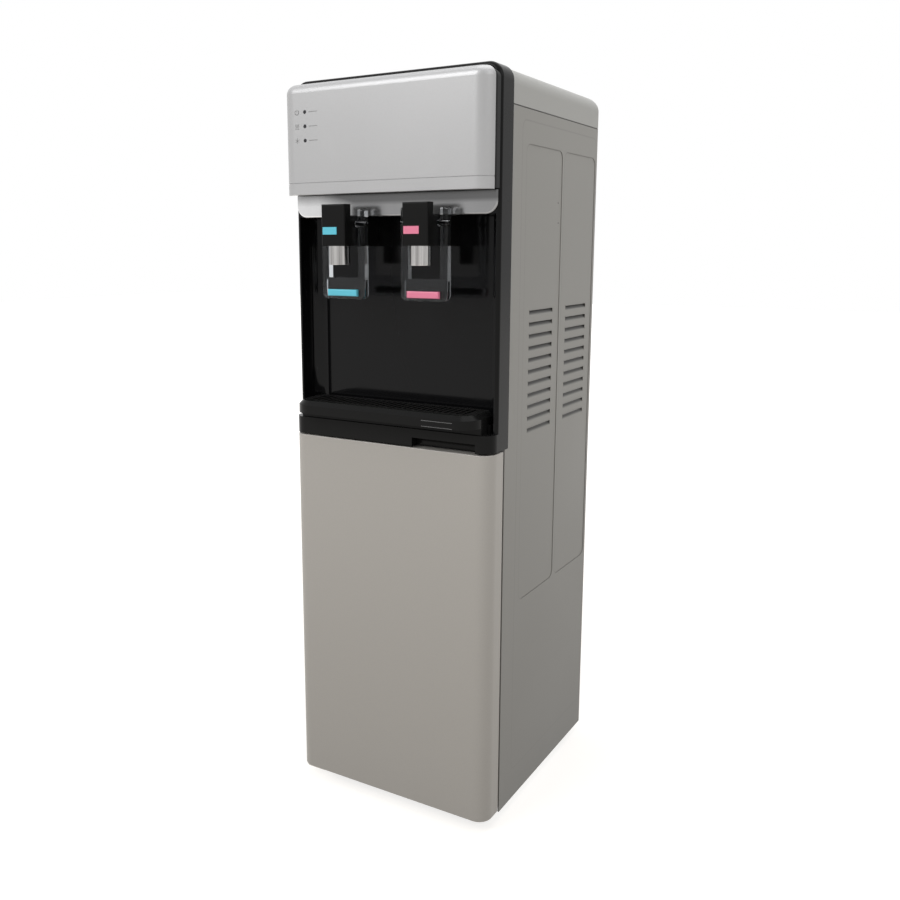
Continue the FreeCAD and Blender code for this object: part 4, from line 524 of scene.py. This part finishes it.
# The cover wears the painted shadow of its seam with the side sheets.
COVER_PLASTIC = moulded("cover_plastic", (0.455, 0.455, 0.438), specular=0.35, seam=True)
PANEL_LACQUER = gloss("panel_lacquer", (0.455, 0.456, 0.462), roughness=0.36, metallic=0.3, coat=0.1,
                      coat_roughness=0.25, texture=Texture.ORANGE_PEEL, grain=900.0, flake=0.04, smudge=0.06)
# The chin's strong, large tone drift paints light and dark patches of reflection on the polished trim.
CHIN_LACQUER = gloss("chin_lacquer", (0.62, 0.62, 0.625), roughness=0.2, metallic=0.85, drift=0.8, drift_scale=11.0,
                     swept=True)
BLACK_GLOSS = gloss("black_gloss", (0.009, 0.009, 0.009), roughness=0.2, specular=0.4, ior=1.2, smudge=0.15, dust=0.0)
BLACK_MIRROR = gloss("black_mirror", (0.004, 0.004, 0.0045), roughness=0.09, specular=0.14, smudge=0.1, dust=0.01)
BLACK_SATIN = moulded("black_satin", (0.006, 0.006, 0.006), roughness=0.32, specular=0.10, relief=0.05, dust=0.01)
BLACK_MATT = moulded("black_matt", (0.014, 0.014, 0.014), roughness=0.55, specular=0.3)
CYAN_GLOSS = gloss("cyan_gloss", (0.125, 0.61, 0.77), roughness=0.25)
PINK_GLOSS = gloss("pink_gloss", (0.87, 0.24, 0.375), roughness=0.25)
CLEAR = gloss("clear_acrylic", (0.66, 0.68, 0.70), roughness=0.05, transmission=1.0, ior=1.28, dust=0.0)
# Brushed grain, with a strong flake overlay that paints dark vertical streaks of reflection on the nozzles.
CHROME = metal("chrome", (0.40, 0.39, 0.38), roughness=0.16, grain=230.0, relief=0.02, flake=0.95)
RIB_GLOSS = gloss("rib_gloss", (0.012, 0.012, 0.012), roughness=0.16, specular=0.7)
ZINC_SHEET = metal("zinc_sheet", (0.56, 0.57, 0.59), roughness=0.42, texture=Texture.SPANGLE, grain=90.0, flake=0.12)
ZINC_BRIGHT = metal("zinc_bright", (0.62, 0.61, 0.58), roughness=0.26)
STAINLESS = metal("stainless", (0.58, 0.58, 0.58), roughness=0.26, anisotropy=0.5)
COPPER = metal("copper", (0.72, 0.36, 0.22), roughness=0.24, texture=Texture.POLISHED)
ENAMEL = gloss("black_enamel", (0.010, 0.010, 0.011), roughness=0.3, texture=Texture.ORANGE_PEEL, grain=500.0)
RUBBER = moulded("rubber", (0.018, 0.018, 0.018), roughness=0.75)
FOAM = moulded("foam", (0.68, 0.67, 0.63), roughness=0.85, texture=Texture.CELLS, grain=420.0, relief=0.35)
WHITE_PLASTIC = moulded("white_plastic", (0.60, 0.60, 0.58), roughness=0.45)
FLOOR_PLASTIC = moulded("floor_plastic", (0.20, 0.205, 0.21), roughness=0.55)
NYLON = moulded("nylon", (0.64, 0.63, 0.58), roughness=0.4)
SILICONE = moulded("silicone_hose", (0.60, 0.62, 0.62), roughness=0.35, coat=0.2)
BOARD = moulded("board_green", (0.02, 0.13, 0.05), roughness=0.35)
MICA = moulded("mica_band", (0.38, 0.33, 0.26), roughness=0.6)
LAMP = gloss("lamp_lens", (0.012, 0.013, 0.016), roughness=0.08)
ROCKER_BLUE = gloss("rocker_blue", (0.03, 0.14, 0.42), roughness=0.25)
ROCKER_RED = gloss("rocker_red", (0.45, 0.03, 0.035), roughness=0.25)
PRINT_GREY = moulded("print_grey", (0.21, 0.21, 0.21), roughness=0.5, relief=0.02)
PRINT_WHITE = moulded("print_white", (0.75, 0.75, 0.74), roughness=0.5, relief=0.02)
# Painted shade: the near-black of a slot's inside, on the screw slots and on the small dark dots of the side sheets.
PAINTED_SHADE_DARK = moulded("painted_recess_shade", (0.03, 0.03, 0.03), roughness=0.7)


# ---------------------------------------------------------------------------------------------
# Made pieces
# ---------------------------------------------------------------------------------------------
def placed(name: str, mesh: bpy.types.Mesh, finish: Finish, body: str) -> bpy.types.Object:
    """Puts a finished mesh in the scene as one piece.

    Args:
        name: The piece's name.
        mesh: Its mesh, in place.
        finish: Its finish.
        body: The body that carries it.

    Returns:
        The piece.
    """
    item = bpy.data.objects.new(name, mesh)
    bpy.context.collection.objects.link(item)
    finish.on(item)
    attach(item, body)
    LOG.info("piece %s: %d faces, %s, on %s", name, len(mesh.polygons), finish.name, body)
    return item


@dataclass
class Strokes:
    """Thin marks that stand a hair proud of a face which looks along Y.

    Lines are given as x, z points in millimetres.
    """

    name: str
    lines: list[Line]
    face: float
    look: float = -1.0
    width: float = 0.55
    proud: float = 0.08
    sunk: float = 0.05

    @staticmethod
    def ring(x: float, z: float, radius: float, start: float = 0.0, sweep: float = 360.0) -> Line:
        """Points round a circle or an arc.

        Args:
            x: The centre's x.
            z: The centre's z.
            radius: The radius.
            start: The first angle in degrees.
            sweep: The angle covered.

        Returns:
            The points.
        """
        turns = [math.radians(start + sweep * k / RING_STEPS) for k in range(RING_STEPS + 1)]
        return [(x + radius * math.cos(a), z + radius * math.sin(a)) for a in turns]

    def build(self, finish: Finish, body: str) -> bpy.types.Object:
        """Makes the marks as one piece of small closed bars.

        Args:
            finish: Their finish.
            body: The body that carries them.

        Returns:
            The piece.
        """
        corners: list[Point] = []
        faces: list[tuple[int, ...]] = []
        low, high = sorted((self.face + self.look * self.proud, self.face - self.look * self.sunk))
        for line in self.lines:
            for (x0, z0), (x1, z1) in zip(line, line[1:]):
                run = math.hypot(x1 - x0, z1 - z0)
                ux, uz = (x1 - x0) / run * self.width / 2.0, (z1 - z0) / run * self.width / 2.0
                plan = [(x0 - ux + uz, z0 - uz - ux), (x1 + ux + uz, z1 + uz - ux),
                        (x1 + ux - uz, z1 + uz + ux), (x0 - ux - uz, z0 - uz + ux)]
                first = len(corners)
                corners += [(x * MM, y * MM, z * MM) for y in (low, high) for x, z in plan]
                loops = [(0, 1, 2, 3), (7, 6, 5, 4)] + [(k, k + 4, (k + 1) % 4 + 4, (k + 1) % 4) for k in range(4)]
                faces += [tuple(first + k for k in loop) for loop in loops]
        mesh = bpy.data.meshes.new(self.name)
        mesh.from_pydata(corners, [], faces)
        return placed(self.name, mesh, finish, body)


class Grower:
    """A Geometry Nodes tree with named sizes, run once on seed points and kept as a plain mesh."""

    def __init__(self, name: str, sizes: dict[str, Union[float, int, Point]]) -> None:
        """Starts the tree.

        Args:
            name: The tree's name.
            sizes: The value of each named input.
        """
        self.name = name
        tree = bpy.data.node_groups.new(name, "GeometryNodeTree")
        for way in ("INPUT", "OUTPUT"):
            tree.interface.new_socket(name="Geometry", in_out=way, socket_type="NodeSocketGeometry")
        kinds = {int: "NodeSocketInt", float: "NodeSocketFloat", tuple: "NodeSocketVector"}
        self.values: dict[str, Union[float, int, Point]] = {}
        for label, value in sizes.items():
            socket = tree.interface.new_socket(name=label, in_out="INPUT", socket_type=kinds[type(value)])
            self.values[socket.identifier] = value
        self.wires = Wiring(tree)
        self.given = {s.name: s for s in self.wires.add("NodeGroupInput").outputs}
        self.out = self.wires.add("NodeGroupOutput")

    def scatter(self, piece: bpy.types.NodeSocket, finish: Finish) -> None:
        """Sets one piece on every seed point and ends the tree.

        Args:
            piece: The geometry that is repeated.
            finish: Its finish.
        """
        spots = self.wires.add("GeometryNodeInstanceOnPoints", {"Points": self.given["Geometry"], "Instance": piece})
        solid = self.wires.add("GeometryNodeRealizeInstances", {"Geometry": spots.outputs["Instances"]})
        dressed = self.wires.add("GeometryNodeSetMaterial", {"Geometry": solid.outputs["Geometry"],
                                                             "Material": finish.material()})
        self.wires.feed(self.out.inputs["Geometry"], dressed.outputs["Geometry"])

    def grow(self, seeds: Sequence[Point], finish: Finish, body: str) -> bpy.types.Object:
        """Runs the tree.

        Args:
            seeds: The points in metres.
            finish: The piece's finish.
            body: The body that carries the piece.

        Returns:
            The piece, with no modifier left on it.
        """
        mesh = bpy.data.meshes.new(self.name + "_seeds")
        mesh.from_pydata(list(seeds), [], [])
        carrier = bpy.data.objects.new(self.name + "_seeds", mesh)
        bpy.context.collection.objects.link(carrier)
        modifier = carrier.modifiers.new("grow", "NODES")
        modifier.node_group = self.wires.tree
        for identifier, value in self.values.items():
            modifier[identifier] = value
        seen = carrier.evaluated_get(bpy.context.evaluated_depsgraph_get())
        grown = bpy.data.meshes.new_from_object(seen)
        bpy.data.objects.remove(carrier)
        return placed(self.name, grown, finish, body)


def rods(name: str, seeds: Sequence[Point], run: Point, radius: float, finish: Finish, body: str) -> bpy.types.Object:
    """Grows one round rod from every seed point.

    Args:
        name: The piece's name.
        seeds: The rods' first ends in metres.
        run: From a rod's first end to its other one.
        radius: The rods' radius.
        finish: Their finish.
        body: The body that carries them.

    Returns:
        The piece.
    """
    tree = Grower(name, {"Run": run, "Radius": radius, "Sides": ROD_SIDES})
    line = tree.wires.add("GeometryNodeCurvePrimitiveLine", {"End": tree.given["Run"]})
    ring = tree.wires.add("GeometryNodeCurvePrimitiveCircle", {"Resolution": tree.given["Sides"],
                                                               "Radius": tree.given["Radius"]})
    rod = tree.wires.add("GeometryNodeCurveToMesh", {"Curve": line.outputs["Curve"],
                                                     "Profile Curve": ring.outputs["Curve"], "Fill Caps": True})
    tree.scatter(rod.outputs["Mesh"], finish)
    return tree.grow(seeds, finish, body)


def crosses(name: str, seeds: Sequence[Point], arm: float, width: float, depth: float, finish: Finish,
            body: str) -> bpy.types.Object:
    """Grows the cross of a screwdriver slot on every seed point, for heads that look along Y.

    Args:
        name: The piece's name.
        seeds: The heads' centres in metres.
        arm: The cross's span.
        width: The slots' width.
        depth: The slots' thickness along Y.
        finish: Their finish.
        body: The body that carries them.

    Returns:
        The piece.
    """
    tree = Grower(name, {"Arm": arm, "Width": width, "Depth": depth})
    bars = []
    for order in (("Arm", "Depth", "Width"), ("Width", "Depth", "Arm")):
        size = tree.wires.add("ShaderNodeCombineXYZ", {k: tree.given[label] for k, label in enumerate(order)})
        bars.append(tree.wires.add("GeometryNodeMeshCube", {"Size": size.outputs[0]}).outputs["Mesh"])
    both = tree.wires.add("GeometryNodeJoinGeometry")
    for bar in bars:
        tree.wires.feed(both.inputs["Geometry"], bar)
    tree.scatter(both.outputs["Geometry"], finish)
    return tree.grow(seeds, finish, body)


def rear_face(node: str, x: float, z: float) -> float:
    """How far back a node's rear face lies at one place.

    Args:
        node: The node's name.
        x: The place's x in millimetres.
        z: The place's z in millimetres.

    Returns:
        The face's y in millimetres.
    """
    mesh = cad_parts[node].data
    tree = BVHTree.FromPolygons([v.co for v in mesh.vertices], [tuple(p.vertices) for p in mesh.polygons])
    hit = tree.ray_cast(Vector((x * MM, 1.0, z * MM)), Vector((0.0, -1.0, 0.0)))
    return hit[0].y / MM


# ---------------------------------------------------------------------------------------------
# Sub-assemblies
# ---------------------------------------------------------------------------------------------
@dataclass
class Assembly:
    """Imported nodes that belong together, their finishes, and what is added to them."""

    title: str = "assembly"
    body: str = "cabinet"
    finishes: dict[str, Finish] = field(default_factory=dict)

    def dress(self) -> None:
        """Gives every node of the assembly its finish."""
        for node, finish in self.finishes.items():
            finish.on(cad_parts[node])
            LOG.info("node %s: %s", node, finish.name)

    def details(self) -> None:
        """Adds nothing unless a sub-assembly says so."""

    def build(self) -> None:
        """Dresses the nodes and adds the details."""
        LOG.info("-- %s", self.title)
        self.dress()
        self.details()


@dataclass
class Cabinet(Assembly):
    """Painted sides on a zinc-coated frame, with their pressed louvres."""

    title: str = "cabinet"
    finishes: dict[str, Finish] = field(default_factory=lambda: {
        "left_side_panel": SIDE_PAINT, "right_side_panel": SIDE_PAINT, "base_pan": ZINC_SHEET,
        "machine_deck": ZINC_SHEET, "tank_shelf": ZINC_SHEET, "levelling_feet": BLACK_MATT,
        "bottle_floor": FLOOR_PLASTIC, "top_cover": COVER_PLASTIC})
    face: float = 160.0
    lip_radius: float = 0.45
    louvre_fronts: tuple[float, float] = (-47.1, 80.9)
    louvre_length: float = 80.0
    louvre_top: float = 724.0
    louvre_pitch: float = 16.3
    louvre_rows: int = 11
    pip_spots: tuple[tuple[float, float], ...] = ((43.6, 869.8), (45.4, 842.2))
    pip_radius: float = 0.9
    pip_sunk: float = 0.2
    pip_length: float = 0.4
    field_depth: float = 0.7

    def details(self) -> None:
        """Rolls the upper lip of every louvre and sets the two small rivets in each front field."""
        seeds = [(side * (self.face - self.lip_radius) * MM, y * MM, (self.louvre_top - row * self.louvre_pitch) * MM)
                 for side in (-1, 1) for y in self.louvre_fronts for row in range(self.louvre_rows)]
        rods("louvre_lips", seeds, (0.0, self.louvre_length * MM, 0.0), self.lip_radius * MM, SIDE_PAINT, self.body)
        base = self.face - self.field_depth
        for side, label in ((-1.0, "left"), (1.0, "right")):
            pips = [(side * (base - self.pip_sunk) * MM, y * MM, z * MM) for y, z in self.pip_spots]
            # The rivet dots are drawn in the same painted-shade dark.
            rods(label + "_side_rivets", pips, (side * self.pip_length * MM, 0.0, 0.0), self.pip_radius * MM,
                 PAINTED_SHADE_DARK, self.body)


@dataclass
class Rear(Assembly):
    """The back sheet with its screws and the condenser that hangs on it."""

    title: str = "rear"
    finishes: dict[str, Finish] = field(default_factory=lambda: {
        "back_panel": ZINC_SHEET, "back_screws": ZINC_BRIGHT, "condenser": ENAMEL, "filter_drier": COPPER,
        "refrigerant_lines": COPPER})
    screw_x: tuple[float, ...] = (-125.0, 0.0, 125.0)
    screw_z: tuple[float, float] = (21.0, 538.0)
    screw_y: float = 169.4
    slot_sunk: float = 0.1
    slot_arm: float = 4.2
    slot_width: float = 0.9
    slot_depth: float = 0.3
    wire_y: float = 178.8
    wire_low: float = 93.0
    wire_top: float = 677.0
    wire_radius: float = 0.9
    wire_first: float = -101.0
    wire_gaps: int = 12
    wire_pitch: float = 202.0 / 12.0
    wires_between: int = 2

    def details(self) -> None:
        """Marks the screws' slots with crosses in painted shade and closes up the condenser's row of wires."""
        heads = [(x * MM, (self.screw_y - self.slot_sunk) * MM, z * MM) for x in self.screw_x for z in self.screw_z]
        crosses("screw_slots", heads, self.slot_arm * MM, self.slot_width * MM, self.slot_depth * MM, PAINTED_SHADE_DARK,
                self.body)
        shares = [(n + 1) / (self.wires_between + 1) for n in range(self.wires_between)]
        feet = [((self.wire_first + (k + share) * self.wire_pitch) * MM, self.wire_y * MM, self.wire_low * MM)
                for k in range(self.wire_gaps) for share in shares]
        rods("condenser_wires", feet, (0.0, 0.0, (self.wire_top - self.wire_low) * MM), self.wire_radius * MM,
             ENAMEL, self.body)


@dataclass
class Fascia(Assembly):
    """The silver control panel with its lamps, on the glossy black front frame."""

    title: str = "fascia"
    finishes: dict[str, Finish] = field(default_factory=lambda: {
        "front_bezel": BLACK_GLOSS, "control_panel": PANEL_LACQUER, "chin_trim": CHIN_LACQUER,
        "indicator_lenses": LAMP, "indicator_board": BOARD})
    face: float = -172.6
    lamp_x: float = -119.0
    lamp_z: tuple[float, ...] = (987.0, 968.5, 950.0)
    icon_x: float = -132.2
    icon_size: float = 7.0
    icon_stroke: float = 0.6
    dash_gap: float = 6.5
    dash_length: float = 14.0
    dash_radius: float = 0.35

    def heat_icon(self, z: float) -> list[Line]:
        """Three rising waves over a bar."""
        s, x = self.icon_size, self.icon_x
        waves = [[(x + dx, z - 0.25 * s), (x + dx + 0.12 * s, z), (x + dx - 0.06 * s, z + 0.2 * s),
                  (x + dx + 0.06 * s, z + 0.45 * s)] for dx in (-0.32 * s, 0.0, 0.32 * s)]
        return waves + [[(x - 0.45 * s, z - 0.45 * s), (x + 0.45 * s, z - 0.45 * s)]]

    def cool_icon(self, z: float) -> list[Line]:
        """A six-armed star."""
        arms = []
        for k in range(3):
            a = math.radians(90.0 + 60.0 * k)
            dx, dz = 0.5 * self.icon_size * math.cos(a), 0.5 * self.icon_size * math.sin(a)
            arms.append([(self.icon_x - dx, z - dz), (self.icon_x + dx, z + dz)])
        return arms

    def power_icon(self, z: float) -> list[Line]:
        """An open ring with a bar in its gap."""
        s = self.icon_size
        bar = [(self.icon_x, z), (self.icon_x, z + 0.55 * s)]
        return [Strokes.ring(self.icon_x, z, 0.45 * s, 125.0, 290.0), bar]

    def details(self) -> None:
        """Prints a plain icon beside each lamp and a short line after it."""
        lines = self.power_icon(self.lamp_z[0]) + self.heat_icon(self.lamp_z[1]) + self.cool_icon(self.lamp_z[2])
        Strokes("lamp_icons", lines, self.face, width=self.icon_stroke).build(PRINT_GREY, self.body)
        dashes = [((self.lamp_x + self.dash_gap) * MM, self.face * MM, z * MM) for z in self.lamp_z]
        rods("lamp_lines", dashes, (self.dash_length * MM, 0.0, 0.0), self.dash_radius * MM, PRINT_GREY, self.body)


@dataclass
class Recess(Assembly):
    """The mirror-black recess and the shelf under it."""

    title: str = "recess"
    finishes: dict[str, Finish] = field(default_factory=lambda: {
        "splash_panel": BLACK_MIRROR, "tray_housing": BLACK_GLOSS, "tap_nozzles": CHROME, "tap_pins": BLACK_SATIN,
        "tap_nuts": ZINC_BRIGHT})


@dataclass
class Tap(Assembly):
    """One tap: its housing, coloured badge, clear paddle, valve stem and spring."""

    water: Water = Water.COLD
    accent: Finish = CYAN_GLOSS
    spring_top: float = 844.7
    spring_keep: float = 0.68

    def __post_init__(self) -> None:
        """Names the nodes after the tap's water."""
        key = self.water.value
        self.title = key + " tap"
        self.finishes = {
            key + "_tap_body": BLACK_SATIN, key + "_tap_badge": self.accent, key + "_paddle": CLEAR,
            key + "_paddle_bar": self.accent, key + "_valve_stem": NYLON, key + "_stem_spring": STAINLESS}

    def details(self) -> None:
        """Swaps the return spring's node for a copy of its mesh, as a piece of its own."""
        key = self.water.value
        node = key + "_stem_spring"
        coils = placed(key + "_spring_coils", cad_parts[node].data.copy(), STAINLESS, self.body)
        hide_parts(node)
        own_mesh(coils)


@dataclass
class DripTray(Assembly):
    """The lift-out tray and its grille."""

    title: str = "drip tray"
    body: str = "tray"
    finishes: dict[str, Finish] = field(default_factory=lambda: {
        "drip_tray": BLACK_GLOSS, "drip_grille": BLACK_SATIN})
    front: float = -184.1
    rib_start: float = 70.0
    rib_length: float = 46.0
    rib_radius: float = 0.55
    rib_sunk: float = 0.1
    rib_z: tuple[float, float] = (578.0, 585.6)

    def details(self) -> None:
        """Sets the two fine thumb ribs on the tray's front."""
        ends = [(self.rib_start * MM, (self.front + self.rib_sunk) * MM, z * MM) for z in self.rib_z]
        rods("tray_ribs", ends, (self.rib_length * MM, 0.0, 0.0), self.rib_radius * MM, RIB_GLOSS, self.body)


@dataclass
class Door(Assembly):
    """The bottle door with its liner, hinges and magnet."""

    title: str = "door"
    body: str = "door"
    finishes: dict[str, Finish] = field(default_factory=lambda: {
        "door_skin": DOOR_PAINT, "door_liner": WHITE_PLASTIC, "hinge_blocks": NYLON,
        "hinge_brackets": ZINC_BRIGHT, "door_magnet": RUBBER})


@dataclass
class WaterWorks(Assembly):
    """Pump, probe, pipes, insulated tanks and the compressor that cools one of them."""

    title: str = "water works"
    finishes: dict[str, Finish] = field(default_factory=lambda: {
        "water_pump": WHITE_PLASTIC, "suction_probe": NYLON, "water_pipes": SILICONE, "cold_foam": FOAM,
        "hot_foam": FOAM, "cold_tank": STAINLESS, "hot_tank": STAINLESS, "evaporator_coil": COPPER,
        "heater_band": MICA, "compressor": ENAMEL, "compressor_mounts": RUBBER, "drain_spout": NYLON,
        "drain_cap": NYLON})


@dataclass
class RearControls(Assembly):
    """The electrical box, the two rocker switches and the cord's gland."""

    title: str = "rear controls"
    finishes: dict[str, Finish] = field(default_factory=lambda: {
        "control_box": BLACK_MATT, "switch_frames": BLACK_MATT, "power_gland": RUBBER, "cold_rocker": ROCKER_BLUE,
        "hot_rocker": ROCKER_RED})
    rocker_x: dict[Water, float] = field(default_factory=lambda: {Water.COLD: -120.0, Water.HOT: -86.0})
    rocker_z: float = 819.0
    mark_rise: float = 5.2
    mark_reach: float = 1.6
    mark_ring: float = 1.7
    mark_stroke: float = 0.7
    mark_proud: float = 0.02
    mark_sunk: float = 0.35

    def details(self) -> None:
        """Marks each rocker with a bar for on and a ring for off."""
        for water, x in self.rocker_x.items():
            body, node = water.value + "_switch", water.value + "_rocker"
            for label, z, lines in (
                    ("on", self.rocker_z + self.mark_rise, [[(x, -self.mark_reach), (x, self.mark_reach)]]),
                    ("off", self.rocker_z - self.mark_rise, [Strokes.ring(x, 0.0, self.mark_ring)])):
                shifted = [[(px, z + pz) for px, pz in line] for line in lines]
                face = max(rear_face(node, px, pz) for line in shifted for px, pz in line)
                Strokes(f"{water.value}_{label}_mark", shifted, face, look=1.0, width=self.mark_stroke,
                        proud=self.mark_proud, sunk=self.mark_sunk).build(PRINT_WHITE, body)


# ---------------------------------------------------------------------------------------------
# Stage
# ---------------------------------------------------------------------------------------------
@dataclass
class Studio:
    """Pale floor, white background, soft lamps and the photograph's camera."""

    eye: Point = (0.6887, -1.2211, 0.8070)
    yaw: float = -0.539
    pitch: float = -0.181
    lens: float = 37.54
    shift: tuple[float, float] = (0.0333, -0.0333)
    sky: float = 0.56
    floor_colour: Colour = (0.44, 0.41, 0.37)
    floor_near: float = 0.74
    floor_far: float = 1.05
    floor_half: float = 12.0
    glow_start: float = 0.5
    glow_full: float = 2.6
    lamps: tuple[tuple[str, Point, Point, float, float], ...] = (
        ("key", (-1.3, -2.6, 2.7), (0.0, -0.1, 0.9), 1.8, 52.0),
        ("fill", (2.6, -0.8, 2.5), (0.0, 0.0, 0.8), 1.8, 13.0),
        ("top", (0.2, 0.4, 3.2), (0.0, 0.0, 0.5), 2.2, 26.0))

    def camera(self) -> None:
        """Places the camera at the photograph's viewing angle."""
        data = bpy.data.cameras.new("camera")
        data.lens, data.sensor_width, data.clip_end = self.lens, 36.0, 50.0
        data.shift_x, data.shift_y = self.shift
        item = bpy.data.objects.new("camera", data)
        item.location = self.eye
        way = Vector((math.sin(self.yaw) * math.cos(self.pitch), math.cos(self.yaw) * math.cos(self.pitch),
                      math.sin(self.pitch)))
        item.rotation_euler = way.to_track_quat("-Z", "Y").to_euler()
        bpy.context.collection.objects.link(item)
        bpy.context.scene.camera = item

    @staticmethod
    def _seen(wires: Wiring) -> bpy.types.NodeSocket:
        """One where the camera, a mirror or clear plastic looks at a surface, and zero elsewhere."""
        path = wires.add("ShaderNodeLightPath").outputs
        first = wires.math("MAXIMUM", path["Is Camera Ray"], path["Is Glossy Ray"])
        return wires.math("MAXIMUM", first, path["Is Transmission Ray"])

    def world(self) -> None:
        """An even sky that shows as white where it is looked at."""
        sky = bpy.data.worlds.new("sky")
        bpy.context.scene.world = sky
        sky.use_nodes = True
        wires = Wiring(sky.node_tree)
        light = sky.node_tree.nodes["Background"]
        wires.feed(light.inputs["Color"], (1.0, 1.0, 1.0, 1.0))
        wires.feed(light.inputs["Strength"], self.sky)
        shown = wires.add("ShaderNodeBackground", {"Color": (1.0, 1.0, 1.0, 1.0), "Strength": 1.0})
        mix = wires.add("ShaderNodeMixShader", {0: self._seen(wires), 1: light.outputs[0], 2: shown.outputs[0]})
        wires.feed(sky.node_tree.nodes["World Output"].inputs["Surface"], mix.outputs[0])

    def floor(self) -> None:
        """A wide pale floor that keeps the object's shadow and runs out into the white."""
        mesh = bpy.data.meshes.new("floor")
        r = self.floor_half
        mesh.from_pydata([(-r, -r, 0), (r, -r, 0), (r, r, 0), (-r, r, 0)], [], [(0, 1, 2, 3)])
        item = bpy.data.objects.new("floor", mesh)
        bpy.context.collection.objects.link(item)
        made = bpy.data.materials.new("floor_pale")
        made.use_nodes = True
        wires = Wiring(made.node_tree)
        shader = made.node_tree.nodes["Principled BSDF"]
        for label, value in (("Base Color", (*self.floor_colour, 1.0)), ("Roughness", 0.9),
                             ("Specular IOR Level", 0.1)):
            wires.feed(shader.inputs[label], value)
        reach = wires.add("ShaderNodeVectorMath", {0: wires.place()}, operation="LENGTH").outputs["Value"]
        rise = wires.math("MULTIPLY_ADD", wires.ramp(reach, self.glow_start, self.glow_full),
                          self.floor_far - self.floor_near, self.floor_near)
        glow = wires.add("ShaderNodeEmission", {"Color": (1.0, 1.0, 1.0, 1.0),
                                                "Strength": wires.math("MULTIPLY", self._seen(wires), rise)})
        both = wires.add("ShaderNodeAddShader", {0: shader.outputs[0], 1: glow.outputs[0]})
        wires.feed(made.node_tree.nodes["Material Output"].inputs["Surface"], both.outputs[0])
        mesh.materials.append(made)

    @staticmethod
    def lamp(name: str, place: Point, aim: Point, size: float, power: float) -> None:
        """Hangs one soft square lamp.

        Args:
            name: The lamp's name.
            place: Where it hangs.
            aim: The point it faces.
            size: Its side.
            power: Its power in watts.
        """
        data = bpy.data.lights.new(name, "AREA")
        data.shape, data.size, data.energy = "SQUARE", size, power
        item = bpy.data.objects.new(name, data)
        item.location = place
        item.rotation_euler = (Vector(aim) - Vector(place)).to_track_quat("-Z", "Y").to_euler()
        bpy.context.collection.objects.link(item)

    def build(self) -> None:
        """Makes the whole stage."""
        bpy.context.scene.view_settings.view_transform = "Standard"
        self.camera()
        self.world()
        self.floor()
        for lamp in self.lamps:
            self.lamp(*lamp)
        LOG.info("stage built")


def main() -> None:
    """Builds the stage and every sub-assembly."""
    logging.basicConfig(level=logging.INFO, format="%(message)s")
    Studio().build()
    for assembly in (Cabinet(), Rear(), Fascia(), Recess(), Tap(water=Water.COLD, accent=CYAN_GLOSS),
                     Tap(water=Water.HOT, accent=PINK_GLOSS), DripTray(), Door(), WaterWorks(), RearControls()):
        assembly.build()


if __name__ == "__main__":
    main()
